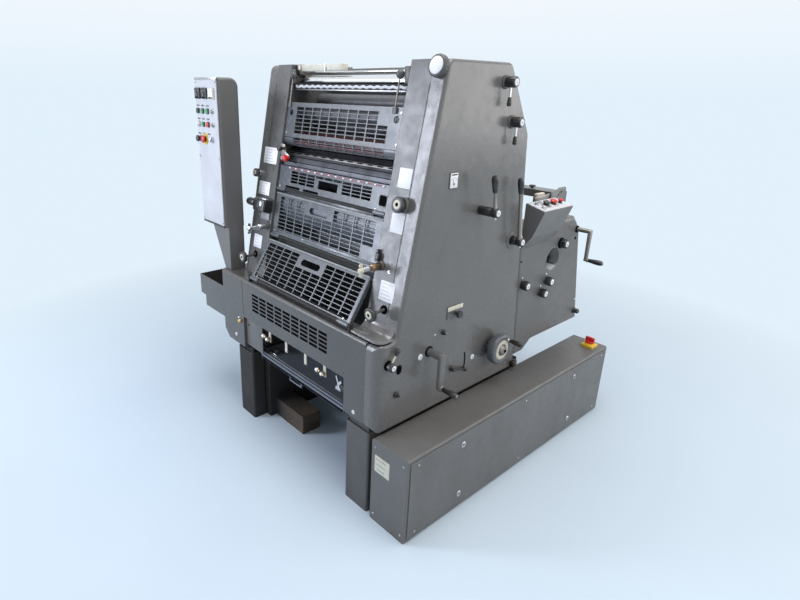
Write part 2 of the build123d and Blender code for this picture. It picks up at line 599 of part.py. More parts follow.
def base_beam():
    """Rusty hollow beam on the floor, open at its free end."""
    beam = block(-WALL_IN, BEAM_END_X, BEAM_Y0, BEAM_Y1, 0, BEAM_H)
    hollow = block(
        -WALL_IN + BEAM_WALL, BEAM_END_X - BEAM_WALL,
        BEAM_Y0 + BEAM_WALL, BEAM_Y1 - BEAM_WALL, BEAM_WALL, BEAM_H - BEAM_WALL,
    )
    return beam - hollow


def cabinet():
    """Long low electrical cabinet."""
    box = block(CAB_X0, CAB_X1, 0, CAB_LEN, 0, CAB_H)
    return fillet(box.edges().filter_by(Axis.Y), CAB_R)


def cabinet_door():
    """Lift-off side panel of the cabinet."""
    y1, z1 = CAB_LEN - DOOR_MARGIN, CAB_H - DOOR_MARGIN
    return block(CAB_X1, CAB_X1 + DOOR_T, DOOR_MARGIN, y1, DOOR_MARGIN, z1)


def cabinet_brackets():
    """Two brackets between the base wall and the cabinet."""
    z1 = BRACKET_LIFT + BRACKET_H
    starts = [at * CAB_LEN for at in BRACKET_AT]
    return [block(LEG_X1, CAB_X0, y, y + BRACKET_LEN, BRACKET_LIFT, z1) for y in starts]


def switch_base():
    """Square plate under the main switch, with its spindle."""
    half = SWITCH_BASE / 2
    plate = Pos(SWITCH_X, SWITCH_Y, CAB_H) * block(-half, half, -half, half, 0, SWITCH_BASE_H)
    return fillet(plate.edges().group_by(Axis.Z)[-1], RIM_R / 4)


def switch_knob():
    """Round switch knob with a finger bar."""
    z0 = CAB_H + SWITCH_BASE_H + SWITCH_GAP
    knob = rod_z(SWITCH_R, SWITCH_X, SWITCH_Y, z0, z0 + SWITCH_H)
    bar = block(
        SWITCH_X - SWITCH_R, SWITCH_X + SWITCH_R, SWITCH_Y - SWITCH_R / 3, SWITCH_Y + SWITCH_R / 3,
        z0 + SWITCH_H / 2, z0 + SWITCH_H + SWITCH_H / 3,
    )
    return knob + bar


def console_pillar():
    """Tall console housing, rounded at its top."""
    box = block(CON_X0, CON_X1, CON_FRONT_Y, CON_FRONT_Y + CON_DEPTH, CON_Z0, CON_Z1)
    rear_top = box.edges().filter_by(Axis.X).group_by(Axis.Z)[-1].sort_by(Axis.Y)[-1]
    box = fillet(rear_top, CON_TOP_R)
    return fillet(box.edges().filter_by(Axis.Z), CON_R)


def console_face():
    """White control plate on the console."""
    return block(
        CON_X0 + FACE_MARGIN, CON_X1 - FACE_MARGIN, CON_FRONT_Y - FACE_T, CON_FRONT_Y,
        CON_Z0 + FACE_MARGIN, CON_Z1 - FACE_MARGIN,
    )


def console_pedestal():
    """Tapered foot of the console."""
    outline = [(-DRIVE_OUT, LEDGE_Z), (CON_X1, LEDGE_Z), (CON_X1, CON_Z0), (CON_X0 + PED_IN, CON_Z0)]
    return prism_xz(outline, PED_FRONT_Y, PED_BACK_Y)


def console_meters():
    """Row of square meters."""
    y1 = CON_FRONT_Y - FACE_T
    half = METER / 2
    z = CON_Z1 - METER_DROP
    middles = [CON_X0 + at for at in METER_AT]
    return [block(x - half, x + half, y1 - METER_D, y1, z - half, z + half) for x in middles]


def console_buttons():
    """Rows of round buttons."""
    y1 = CON_FRONT_Y - FACE_T
    places = [(CON_X0 + at, CON_Z1 - drop) for drop in BUTTON_DROPS for at in BUTTON_AT]
    return [rod_y(BUTTON_R, x, y1 - BUTTON_D, y1, z) for x, z in places]


def side_tray():
    """Open sheet tray on the drive cover."""
    outer = prism_xz(
        [
            (TRAY_X0, TRAY_STEP_Z), (TRAY_X0, TRAY_Z1), (-DRIVE_OUT, TRAY_Z1),
            (-DRIVE_OUT, TRAY_Z0), (TRAY_STEP_X, TRAY_Z0), (TRAY_STEP_X, TRAY_STEP_Z),
        ],
        0, TRAY_DEPTH,
    )
    upper = block(
        TRAY_X0 + TRAY_T, -DRIVE_OUT - TRAY_T, TRAY_T, TRAY_DEPTH - TRAY_T, TRAY_STEP_Z + TRAY_T, TRAY_Z1,
    )
    lower = block(
        TRAY_STEP_X + TRAY_T, -DRIVE_OUT - TRAY_T, TRAY_T, TRAY_DEPTH - TRAY_T, TRAY_Z0 + TRAY_T, TRAY_Z1,
    )
    return outer - upper - lower


def ledge_pad():
    """Shallow glossy tray on the ledge, round the corner of the operator side."""
    corners = [
        (PAD_X0, PAD_Y0), (PAD_END_X, PAD_Y0), (PAD_END_X, PAD_END_Y),
        (PAD_X1, PAD_END_Y), (PAD_X1, PAD_Y1), (PAD_X0, PAD_Y1),
    ]
    face = make_face(Polyline(*corners, close=True))
    face = fillet(face.vertices(), PAD_R)
    pad = extrude(Plane.XY.offset(LEDGE_Z) * face, PAD_H)
    inner = offset(face, -PAD_RIM)
    return pad - extrude(Plane.XY.offset(LEDGE_Z + PAD_H - PAD_RECESS) * inner, PAD_RECESS)


def turning_roller(axis, r, journal_r):
    """Roller between the frames with a journal at each end."""
    y, z = axis
    body = rod_x(r, -FRAME_IN + END_GAP, FRAME_IN - END_GAP, y, z)
    return body + rod_x(journal_r, -FRAME_IN - JOURNAL_LEN, FRAME_IN + JOURNAL_LEN, y, z)


def plate_cylinder():
    """Plate cylinder with the channel for the plate clamps."""
    y, z = PLATE_AXIS
    channel = Pos(0, y, z) * Rot(-IMPRESSION_ANGLE - LEAN_DEG, 0, 0) * block(
        -FRAME_IN + 2 * END_GAP + JOURNAL_LEN, FRAME_IN - 2 * END_GAP - JOURNAL_LEN,
        -CYL_R - CLAMP_D, -CYL_R + CLAMP_D, -CLAMP_W / 2, CLAMP_W / 2,
    )
    return turning_roller(PLATE_AXIS, CYL_R, JOURNAL_R) - channel


def water_pan():
    """Trough under the chrome roller."""
    reach = CHROME_R + PAN_GAP
    y0, y1 = CHROME_Y - reach, CHROME_Y + reach
    z0, z1 = CHROME_Z - reach - PAN_T, CHROME_Z - CHROME_R / 2
    outer = block(-FRAME_IN, FRAME_IN, y0 - PAN_T, y1 + PAN_T, z0, z1)
    return outer - block(-FRAME_IN, FRAME_IN, y0, y1, z0 + PAN_T, z1)


def tie_rod():
    """Thin rod across the top."""
    return rod_x(ROD_R, -FRAME_IN, FRAME_IN, ROD_Y, ROD_Z)


def inking_rollers():
    """Fixed train of inking rollers inside."""
    return [rod_x(TRAIN_R, -FRAME_IN, FRAME_IN, y, z) for y, z in TRAIN]


GUARD_HALF = FRAME_IN - GUARD_SIDE
DEL_LEAN = degrees(atan2(DEL_TOP_Y - DEL_HINGE_Y, DEL_TOP_Z - DEL_HINGE_Z))
DEL_HEIGHT = hypot(DEL_TOP_Y - DEL_HINGE_Y, DEL_TOP_Z - DEL_HINGE_Z)
BLANKET_HEIGHT = (PLATE_HINGE_Z - GUARD_AIR - BLANKET_HINGE_Z) / cos(radians(LEAN_DEG))
PLATE_HEIGHT = (PLATE_TOP_Z - PLATE_HINGE_Z) / cos(radians(LEAN_DEG))
TOP_HEIGHT = (TOP_GUARD_Z1 - TOP_GUARD_Z0) / cos(radians(LEAN_DEG))
BLANKET_HINGE = (front_y(BLANKET_HINGE_Z) + HINGE_BEHIND, BLANKET_HINGE_Z)
PLATE_HINGE = (front_y(PLATE_HINGE_Z) + HINGE_BEHIND, PLATE_HINGE_Z)
DEL_HINGE = (DEL_HINGE_Y, DEL_HINGE_Z)
DEL_HAND_Z = DEL_HEIGHT - GUARD_BORDER - HAND_H
BLANKET_HAND_Z = BLANKET_HEIGHT - GUARD_BORDER - HAND_H
PLATE_HAND_Z = PLATE_HEIGHT / 2
BLANKET_HAND_X = -HAND_W / 4


def slots(half, side, height, columns, rows, closed, foot=GUARD_BORDER):
    """Slots of a guard in its own plane; closed tells which places stay plain, rows counted from the top."""
    pitch_x = (2 * half - 2 * side + SLOT_BAR_X) / columns
    pitch_z = (height - GUARD_BORDER - foot + SLOT_BAR_Z) / rows
    cuts = []
    for i in range(columns):
        x = -half + side + i * pitch_x
        for j in range(rows):
            z1 = height - GUARD_BORDER - j * pitch_z
            z0 = z1 - pitch_z + SLOT_BAR_Z
            if not closed(i, j):
                cuts.append(block(x, x + pitch_x - SLOT_BAR_X, -GUARD_T, GUARD_T, z0, z1))
    return cuts


def hand_hole(x, z, height):
    """Hand hole of a guard, with round ends."""
    straight = (HAND_W - height) / 2
    hole = block(x - straight, x + straight, -GUARD_T, GUARD_T, z - height / 2, z + height / 2)
    for side in (-1, 1):
        hole += rod_y(height / 2, x + side * straight, -GUARD_T, GUARD_T, z)
    return hole


def hinged_guard(half, height, cuts, lean, hinge):
    """Slotted guard on its lower edge, with two knuckles round its hinge rod."""
    guard = block(-half, half, -GUARD_T / 2, GUARD_T / 2, 0, height) - cuts
    for side in (-1, 1):
        guard += rod_x(KNUCKLE_R, side * half, side * (half - KNUCKLE_LEN), 0, 0)
    guard -= rod_x(KNUCKLE_R, KNUCKLE_LEN - half, half - KNUCKLE_LEN, 0, 0)
    guard -= rod_x(HINGE_R + HINGE_CLEAR, -half, half, 0, 0)
    return Pos(0, *hinge) * Rot(-lean, 0, 0) * guard


def delivery_guard():
    """Lowest guard, over the delivery."""
    def closed(i, j):
        return DEL_COLS // 2 - 1 <= i <= DEL_COLS // 2 + 1 and j < 3
    cuts = slots(DEL_HALF, GUARD_BORDER, DEL_HEIGHT, DEL_COLS, DEL_ROWS, closed)
    cuts.append(hand_hole(0, DEL_HAND_Z, HAND_H))
    return hinged_guard(DEL_HALF, DEL_HEIGHT, cuts, DEL_LEAN, DEL_HINGE)


def blanket_guard():
    """Guard in front of the blanket cylinder."""
    def closed(i, j):
        beside_clamp = i == BLANKET_COLS - 1 and j > BLANKET_ROWS // 2
        return beside_clamp or (3 <= i <= 5 and j < 3)
    cuts = slots(GUARD_HALF, 2 * GUARD_BORDER, BLANKET_HEIGHT, BLANKET_COLS, BLANKET_ROWS, closed)
    cuts.append(hand_hole(BLANKET_HAND_X, BLANKET_HAND_Z, HAND_H))
    return hinged_guard(GUARD_HALF, BLANKET_HEIGHT, cuts, LEAN_DEG, BLANKET_HINGE)


def plate_guard():
    """Guard in front of the plate cylinder."""
    def closed(i, j):
        return 3 <= i <= 5 and j > 0
    cuts = slots(GUARD_HALF, PLATE_SIDE, PLATE_HEIGHT, PLATE_COLS, PLATE_ROWS, closed, PLATE_FOOT)
    hand = Box(HAND_W, 2 * GUARD_T, PLATE_HAND_H)
    cuts.append(Pos(0, 0, PLATE_HAND_Z) * hand)
    return hinged_guard(GUARD_HALF, PLATE_HEIGHT, cuts, LEAN_DEG, PLATE_HINGE)


def top_guard():
    """Fixed guard under the water pan, with a round hole at each end."""
    def closed(i, j):
        return i == TOP_COLS - 1 and j < TOP_ROWS // 2
    plate = block(-FRAME_IN, FRAME_IN, -GUARD_T / 2, GUARD_T / 2, 0, TOP_HEIGHT)
    plate -= slots(FRAME_IN, TOP_SIDE, TOP_HEIGHT, TOP_COLS, TOP_ROWS, closed)
    hole_z = TOP_HEIGHT - TOP_HOLE_DROP
    for side in (-1, 1):
        plate -= rod_y(TOP_HOLE_R, side * (FRAME_IN - TOP_HOLE_IN), -GUARD_T, GUARD_T, hole_z)
    y = front_y(TOP_GUARD_Z0) + HINGE_BEHIND
    return Pos(0, y, TOP_GUARD_Z0) * Rot(-LEAN_DEG, 0, 0) * plate


def hinge_rods():
    """Hinge rods of the guards; the lowest one stands on two lugs."""
    rods = [rod_x(HINGE_R, -FRAME_IN, FRAME_IN, *axis) for axis in (BLANKET_HINGE, PLATE_HINGE)]
    low = rod_x(HINGE_R, -DEL_LUG_X - DEL_LUG_T, DEL_LUG_X + DEL_LUG_T, *DEL_HINGE)
    for side in (-1, 1):
        low += block(
            side * DEL_LUG_X, side * (DEL_LUG_X + DEL_LUG_T),
            DEL_HINGE_Y - KNUCKLE_R, DEL_HINGE_Y + KNUCKLE_R, LEDGE_Z, DEL_HINGE_Z + KNUCKLE_R,
        )
    return rods + [low]


def pile_board():
    """Delivery pile board with its front lip and bail handle."""
    half = WALL_IN - RAIL_T - RAIL_CLEAR
    z0 = BOARD_TOP_Z - BOARD_T
    lip_z = z0 - BOARD_LIP_DROP
    board = block(-half, half, BOARD_FRONT_Y, BOARD_BACK_Y, z0, BOARD_TOP_Z)
    board += block(-half, half, BOARD_FRONT_Y, BOARD_FRONT_Y + BOARD_LIP, lip_z, z0)
    y = BOARD_FRONT_Y + BOARD_LIP / 2
    for side in (-1, 1):
        board += rod_z(BAIL_R, BAIL_X + side * BAIL_W / 2, y, lip_z - BAIL_DROP, lip_z)
    half_bail = BAIL_W / 2 + BAIL_R
    return board + rod_x(BAIL_R, BAIL_X - half_bail, BAIL_X + half_bail, y, lip_z - BAIL_DROP)


def pile_rails():
    """Vertical rails that guide the pile board."""
    rails = []
    for side in (-1, 1):
        x0, x1 = side * (WALL_IN - RAIL_T), side * WALL_IN
        rails.append(block(x0, x1, RAIL_Y0, RAIL_Y0 + RAIL_W, RAIL_Z0, RAIL_Z1))
    return rails


def sheet_guides():
    """Bar behind the front cover with hanging sheet guides."""
    y1 = SHEET + GUIDE_BAR_D
    guides = block(FRONT_LEFT_X, SEAM, SHEET, y1, GUIDE_BAR_Z0, GUIDE_BAR_Z1)
    for at in GUIDE_AT:
        x = at * FRAME_IN
        guides += block(x - GUIDE_W / 2, x + GUIDE_W / 2, y1 - GUIDE_T, y1, GUIDE_Z0, GUIDE_BAR_Z1)
    return guides


def side_joggers():
    """Plates that square the sheets, each on two rods from its frame."""
    joggers = []
    z = (JOG_Z0 + JOG_Z1) / 2
    for side in (-1, 1):
        plate = block(side * JOG_X, side * (JOG_X + JOG_T), JOG_Y0, JOG_Y1, JOG_Z0, JOG_Z1)
        for y in (JOG_Y0 + 4 * JOG_ROD_R, JOG_Y1 - 4 * JOG_ROD_R):
            plate += rod_x(JOG_ROD_R, side * (JOG_X + JOG_T), side * FRAME_IN, y, z)
        joggers.append(plate)
    return joggers


def feed_board():
    """Inclined board that leads the sheets to the cylinders."""
    outline = [
        (FEED_BOARD_Y0, FEED_BOARD_Z0 - FEED_BOARD_T), (FEED_BOARD_Y0, FEED_BOARD_Z0),
        (FEED_BOARD_Y1, FEED_BOARD_Z1), (FEED_BOARD_Y1, FEED_BOARD_Z1 - FEED_BOARD_T),
    ]
    return prism_yz(outline, -FRAME_IN, FRAME_IN)


def feeder_pile_board():
    """Board that holds the stock of sheets."""
    return block(-FEED_IN, FEED_IN, PILE_Y0, PILE_Y1, PILE_TOP_Z - PILE_T, PILE_TOP_Z)


def feeder_head():
    """Cross bar on two posts, with the sucker block."""
    head = block(-FEED_OUT + FEED_T / 2, FEED_OUT - FEED_T / 2, HEAD_Y0, HEAD_Y1, HEAD_BAR_Z0, HEAD_BAR_Z1)
    for side in (-1, 1):
        x1 = side * (FEED_OUT - FEED_T / 2)
        head += block(x1 - side * HEAD_POST_W, x1, HEAD_Y0, HEAD_Y1, FEED_TOP_Z, HEAD_BAR_Z0)
    middle = (HEAD_Y0 + HEAD_Y1) / 2
    head += block(
        -HEAD_BLOCK_W / 2, HEAD_BLOCK_W / 2, middle - HEAD_BLOCK_L / 2, middle + HEAD_BLOCK_L / 2,
        HEAD_BAR_Z0 - HEAD_BLOCK_H, HEAD_BAR_Z0,
    )
    for side in (-1, 1):
        x = side * HEAD_BLOCK_W / 3
        z1 = HEAD_BAR_Z0 - HEAD_BLOCK_H
        head += rod_z(SUCKER_R, x, middle, z1 - SUCKER_LEN, z1)
    return head


def rear_cover():
    """Cover across the back, over the feed board."""
    y0, y1 = back_y(REAR_Z0) - REAR_IN, back_y(REAR_Z1) - REAR_IN
    outline = [(y0 - REAR_T, REAR_Z0), (y0, REAR_Z0), (y1, REAR_Z1), (y1 - REAR_T, REAR_Z1)]
    return prism_yz(outline, -FRAME_IN, FRAME_IN)


def cross_panel():
    """Cross wall between the frames, behind the delivery."""
    return block(-FRAME_IN, FRAME_IN, CROSS_Y0, CROSS_Y1, BOTTOM_Z, CROSS_Z1)


def base_tie():
    """Cross tie between the base walls."""
    y1 = WALL_BACK_Y - TIE_IN
    return block(-WALL_IN, WALL_IN, y1 - TIE_T, y1, TIE_Z0, BOTTOM_Z - TIE_DROP)


def ink_fountain():
    """Ink fountain across the top, with its sloping lid."""
    drop = (FOUNT_Z1 - FOUNT_Z0) / 2
    outline = [
        (FOUNT_Y0, FOUNT_Z0), (FOUNT_Y0, FOUNT_Z1 - drop), (FOUNT_Y0 + drop, FOUNT_Z1),
        (FOUNT_Y1, FOUNT_Z1), (FOUNT_Y1, FOUNT_Z0),
    ]
    return prism_yz(outline, -FRAME_IN, FRAME_IN)


def handwheel():
    """Thick handwheel with its grip and shaft."""
    front = COVER_OUT + WHEEL_FRONT
    wheel = rod_x(WHEEL_R, front - WHEEL_T, front, WHEEL_Y, WHEEL_Z)
    wheel = fillet(wheel.edges().sort_by(Axis.X)[-1], RIM_R / 2)
    wheel += rod_x(WHEEL_SHAFT_R, COVER_OUT - SHAFT_IN, front - WHEEL_T, WHEEL_Y, WHEEL_Z)
    offset = WHEEL_GRIP_AT * sin(radians(45))
    return wheel + rod_x(WHEEL_GRIP_R, front, front + WHEEL_GRIP_LEN, WHEEL_Y + offset, WHEEL_Z + offset)


def crank(outer, y, z, arm, shaft_r, arm_w):
    """Crank with a hanging arm and a round grip."""
    x1 = outer + CRANK_OUT
    x0 = x1 - CRANK_ARM_T
    part = rod_x(shaft_r, outer - SHAFT_IN, x0, y, z)
    part += block(x0, x1, y - arm_w / 2, y + arm_w / 2, z - arm, z)
    for end in (z, z - arm):
        part += rod_x(arm_w / 2, x0, x1, y, end)
    return part + rod_x(CRANK_GRIP_R, x1, x1 + CRANK_GRIP_LEN, y, z - arm)


def lever(y, z, arm, out):
    """Lever with a hub, an upright arm and a grip, leaning forward at rest."""
    hub = rod_x(LEVER_HUB_R, COVER_OUT + LEVER_GAP, COVER_OUT + out, 0, 0)
    hub += rod_x(LEVER_SHAFT_R, COVER_OUT - SHAFT_IN, COVER_OUT + LEVER_GAP, 0, 0)
    x = COVER_OUT + out - LEVER_HUB_R
    hub += rod_z(LEVER_ARM_R, x, 0, -LEVER_STUB, arm - LEVER_GRIP_LEN)
    hub += rod_z(LEVER_GRIP_R, x, 0, arm - LEVER_GRIP_LEN, arm)
    return Pos(0, y, z) * Rot(LEVER_LEAN, 0, 0) * hub


def side_knob(outer, y, z, r, length):
    """Plain round knob on the operator side."""
    knob = rod_x(r, outer, outer + length, y, z)
    return fillet(knob.edges().sort_by(Axis.X)[-1], r / 6)


def register_knobs():
    """Two knobs, each with a short hanging handle."""
    knobs = []
    for y, z in REGISTER_KNOBS:
        knob = side_knob(COVER_OUT, y, z, KNOB_R, KNOB_LEN)
        x = COVER_OUT + KNOB_LEN / 2
        knob += rod_z(KNOB_ROD_R, x, y, z - KNOB_R - KNOB_ROD_LEN / 2, z)
        knob += rod_z(KNOB_GRIP_R, x, y, z - KNOB_R - KNOB_ROD_LEN, z - KNOB_R - KNOB_ROD_LEN / 2)
        knobs.append(knob)
    return knobs


def feeder_knobs():
    """Adjusting knobs on the feeder panel."""
    return [side_knob(FEED_OUT, y, z, FEED_KNOB_R, FEED_KNOB_LEN) for y, z in FEED_KNOBS]


def gauge_window():
    """Small gauge plate on the operator side."""
    return block(
        COVER_OUT, COVER_OUT + GAUGE_T, GAUGE_Y - GAUGE_W / 2, GAUGE_Y + GAUGE_W / 2,
        GAUGE_Z - GAUGE_H / 2, GAUGE_Z + GAUGE_H / 2,
    )


def control_plate():
    """Plate with a selector knob on the operator side."""
    plate = block(
        COVER_OUT, COVER_OUT + PLATE_T, PLATE_Y - PLATE_W / 2, PLATE_Y + PLATE_W / 2,
        PLATE_CTRL_Z - PLATE_H / 2, PLATE_CTRL_Z + PLATE_H / 2,
    )
    knob_z = PLATE_CTRL_Z - PLATE_H / 6
    return plate + side_knob(COVER_OUT + PLATE_T, PLATE_Y, knob_z, PLATE_KNOB_R, PLATE_KNOB_LEN)


def front_side_knob():
    """Knob low on the operator side, near the front."""
    return side_knob(COVER_OUT, SIDE_KNOB_Y, SIDE_KNOB_Z, SIDE_KNOB_R, SIDE_KNOB_LEN)


def feeder_console_box():
    """Desk-shaped feeder console on the operator side."""
    outline = [
        (FEED_OUT, FCON_Z0), (FEED_OUT, FCON_TOP_IN), (FEED_OUT + FCON_OUT_TOP, FCON_TOP_OUT),
        (FEED_OUT + FCON_OUT_MID, FCON_MID_Z),
    ]
    return prism_xz(outline, FCON_Y0, FCON_Y0 + FCON_LEN)


def feeder_console_buttons():
    """Mushroom buttons on the sloping top of the feeder console."""
    tilt = degrees(atan2(FCON_TOP_IN - FCON_TOP_OUT, FCON_OUT_TOP))
    x = FEED_OUT + FCON_OUT_TOP / 2
    z = (FCON_TOP_IN + FCON_TOP_OUT) / 2
    return [
        Pos(x, FCON_Y0 + at, z) * Rot(0, tilt, 0) * rod_z(FCON_BUTTON_R, 0, 0, 0, FCON_BUTTON_H)
        for at in FCON_BUTTON_AT
    ]


def strip_rod(x, z, r, length):
    """Round piece standing out of the leaning front plane."""
    return Pos(x, front_y(z), z) * Rot(-LEAN_DEG, 0, 0) * rod_y(r, 0, -length, 0, 0)


def ink_setting_knob():
    """Large round knob at the top of the operator side."""
    knob = strip_rod(BIG_KNOB_X, BIG_KNOB_Z, BIG_KNOB_R, BIG_KNOB_LEN)
    return fillet(knob.edges().sort_by(Axis.Y)[0], RIM_R / 3)


def behind_front():
    """Room behind the front plane; what stands on the plane at an angle is trimmed by it."""
    return Pos(0, LEDGE_DEPTH, LEDGE_Z) * Rot(-LEAN_DEG, 0, 0) * block(-SEAM, SEAM, 0, FRAME_T, 0, RISE)


def beside(out):
    """X on a front strip, given from the frame's inner face; negative on the drive side."""
    return copysign(FRAME_IN, out) + out


def strip_knobs():
    """Upper knobs on the front strips."""
    places = zip(STRIP_KNOB_AT, STRIP_KNOB_R)
    return [strip_rod(beside(out), STRIP_KNOB_Z, r, STRIP_KNOB_LEN) for out, r in places]


def stalk_knobs():
    """Lower knobs, each on a stalk that points forward and down."""
    knob = rod_y(STALK_R, 0, -STALK_LEN, STALK_R, 0)
    knob += rod_y(STALK_KNOB_R, 0, -STALK_LEN - STALK_KNOB_LEN, -STALK_LEN, 0)
    knob = Rot(STALK_DROP, 0, 0) * knob
    return [Pos(beside(out), front_y(STALK_Z), STALK_Z) * knob - behind_front() for out in STALK_AT]


def guard_clamps():
    """Clamp screws with wing nuts beside the guards."""
    clamps = []
    for side in (-1, 1):
        clamp = rod_y(CLAMP_R, 0, -CLAMP_LEN, CLAMP_R, 0)
        clamp += block(-WING_W / 2, WING_W / 2, -CLAMP_LEN - WING_T, -CLAMP_LEN, -WING_H / 2, WING_H / 2)
        clamps.append(Pos(side * CLAMP_X, front_y(CLAMP_Z), CLAMP_Z) * clamp - behind_front())
    return clamps


def build_nodes():
    """All pieces by node name."""
    return {
        "left_side_frame": side_frame(-1),
        "right_side_frame": side_frame(1),
        "left_side_cover": side_cover(-1),
        "right_side_cover": side_cover(1),
        "left_feeder_panel": feeder_panel(-1),
        "right_feeder_panel": feeder_panel(1),
        "front_cover": front_cover(),
        "drive_cover": drive_cover(),
        "left_front_leg": front_leg(-1),
        "right_front_leg": front_leg(1),
        "left_base_wall": base_wall(-1),
        "right_base_wall": base_wall(1),
        "base_tie": base_tie(),
        "base_beam": base_beam(),
        "electrical_cabinet": cabinet(),
        "cabinet_door": cabinet_door(),
        "cabinet_brackets": cabinet_brackets(),
        "main_switch_base": switch_base(),
        "main_switch_knob": switch_knob(),
        "console_pillar": console_pillar(),
        "console_face": console_face(),
        "console_pedestal": console_pedestal(),
        "console_meters": console_meters(),
        "console_buttons": console_buttons(),
        "side_tray": side_tray(),
        "ledge_pad": ledge_pad(),
        "plate_cylinder": plate_cylinder(),
        "blanket_cylinder": turning_roller(BLANKET_AXIS, CYL_R, JOURNAL_R),
        "impression_cylinder": turning_roller(IMPRESSION_AXIS, CYL_R, JOURNAL_R),
        "ink_form_roller": turning_roller(INK_AXIS, INK_R, ROLLER_JOURNAL_R),
        "water_roller": turning_roller(CHROME_AXIS, CHROME_R, ROLLER_JOURNAL_R),
        "water_pan": water_pan(),
        "top_tie_rod": tie_rod(),
        "inking_rollers": inking_rollers(),
        "delivery_guard": delivery_guard(),
        "blanket_guard": blanket_guard(),
        "plate_guard": plate_guard(),
        "top_guard": top_guard(),
        "guard_hinge_rods": hinge_rods(),
        "delivery_pile_board": pile_board(),
        "pile_rails": pile_rails(),
        "sheet_guides": sheet_guides(),
        "side_joggers": side_joggers(),
        "feed_board": feed_board(),
        "feeder_pile_board": feeder_pile_board(),
        "feeder_head": feeder_head(),
        "rear_cover": rear_cover(),
        "cross_panel": cross_panel(),
        "ink_fountain": ink_fountain(),
        "handwheel": handwheel(),
        "delivery_crank": crank(COVER_OUT, DCRANK_Y, DCRANK_Z, DCRANK_ARM, DCRANK_SHAFT_R, DCRANK_ARM_W),
        "feeder_crank": crank(FEED_OUT, FCRANK_Y, FCRANK_Z, FCRANK_ARM, FCRANK_SHAFT_R, FCRANK_ARM_W),
        "press_lever": lever(PRESS_LEVER_Y, PRESS_LEVER_Z, PRESS_LEVER_ARM, PRESS_LEVER_OUT),
        "air_lever": lever(AIR_LEVER_Y, AIR_LEVER_Z, AIR_LEVER_ARM, AIR_LEVER_OUT),
        "register_knobs": register_knobs(),
        "feeder_knobs": feeder_knobs(),
        "side_plates": [gauge_window(), control_plate(), front_side_knob()],
        "feeder_console": feeder_console_box(),
        "feeder_console_buttons": feeder_console_buttons(),
        "front_knobs": [ink_setting_knob()] + strip_knobs() + stalk_knobs() + guard_clamps(),
    }


def as_shape(piece):
    """One shape for a node made of one or several solids."""
    pieces = piece if isinstance(piece, list) else [piece]
    return Compound([solid for item in pieces for solid in item.solids()])


NODES = {name: as_shape(piece) for name, piece in build_nodes().items()}
BOX = Compound([solid for node in NODES.values() for solid in node.solids()]).bounding_box()
ORIGIN = Vector((BOX.min.X + BOX.max.X) / 2, (BOX.min.Y + BOX.max.Y) / 2, BOX.min.Z)

if __name__ == "__main__":
    os.makedirs("parts", exist_ok=True)
    for name, node in NODES.items():
        export_step(Pos(-ORIGIN.X, -ORIGIN.Y, -ORIGIN.Z) * node, f"parts/{name}.step")
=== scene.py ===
import math
from itertools import product

import bmesh
import bpy
from mathutils import Matrix, Vector


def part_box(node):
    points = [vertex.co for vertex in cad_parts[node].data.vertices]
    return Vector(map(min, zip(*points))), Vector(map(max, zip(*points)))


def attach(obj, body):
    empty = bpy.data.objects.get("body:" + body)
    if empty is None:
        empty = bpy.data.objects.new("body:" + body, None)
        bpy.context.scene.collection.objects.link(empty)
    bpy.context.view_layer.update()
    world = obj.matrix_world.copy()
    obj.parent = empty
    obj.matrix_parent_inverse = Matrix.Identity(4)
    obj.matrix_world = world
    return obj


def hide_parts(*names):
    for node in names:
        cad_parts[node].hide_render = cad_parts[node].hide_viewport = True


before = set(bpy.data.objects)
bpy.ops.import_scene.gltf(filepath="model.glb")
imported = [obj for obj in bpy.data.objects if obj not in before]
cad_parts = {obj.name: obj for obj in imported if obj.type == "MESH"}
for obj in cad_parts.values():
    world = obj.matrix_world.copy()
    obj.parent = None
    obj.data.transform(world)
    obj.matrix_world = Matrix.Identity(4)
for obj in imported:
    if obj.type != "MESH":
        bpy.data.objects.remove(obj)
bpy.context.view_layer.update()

# Driving dimensions in metres; X across, Y from the front cover to the feeder, Z up from the floor
LEDGE_Z = 0.72            # top of the low front cover
LEDGE_Y = 0.085           # foot of the leaning front plane
LEAN = 0.192              # how far that plane leans back, per unit of height
COVER_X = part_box("right_side_cover")[1][0]
FEED_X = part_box("right_feeder_panel")[1][0]
MID_X = (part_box("left_side_cover")[0][0] + COVER_X) / 2
FRONT_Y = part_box("front_cover")[0][1]
SIDE = COVER_X - MID_X    # operator side cover, from the middle
FEED = FEED_X - MID_X     # feeder panel, from the middle
TILT = math.atan(LEAN)

# Camera of the photograph, from its vanishing lines
CAMERA_AT = (1.7, -1.163, 1.55)
CAMERA_TURN = math.radians(49.825)
CAMERA_DOWN = math.radians(19.271)
CAMERA_ROLL = math.radians(0.872)
LENS_PX = 541.66          # focal length in pixels of the photograph
CENTRE_PX = (343.18, 278.89)
PHOTO_PX = (800, 600)
SENSOR = 36.0             # camera film width in millimetres


def at(x, y, z):
    """Point given from the press's middle, its front and the floor."""
    return Vector((MID_X + x, FRONT_Y + y, z))


def axes(origin, out, up):
    """Local frame: z points out of a surface, y up along it and x to its right."""
    z = Vector(out).normalized()
    x = Vector(up).cross(z).normalized()
    y = z.cross(x)
    return Matrix((
        (x.x, y.x, z.x, origin.x),
        (x.y, y.y, z.y, origin.y),
        (x.z, y.z, z.z, origin.z),
        (0, 0, 0, 1),
    ))


def front_y(z):
    """Depth of the leaning front plane at a height."""
    return LEDGE_Y + LEAN * (z - LEDGE_Z)


def on_front(x, z, out=0.0):
    """Frame on the leaning front plane."""
    normal = Vector((0, -math.cos(TILT), math.sin(TILT)))
    foot = at(x, front_y(z), z)
    return axes(foot + normal * out, normal, (0, math.sin(TILT), math.cos(TILT)))


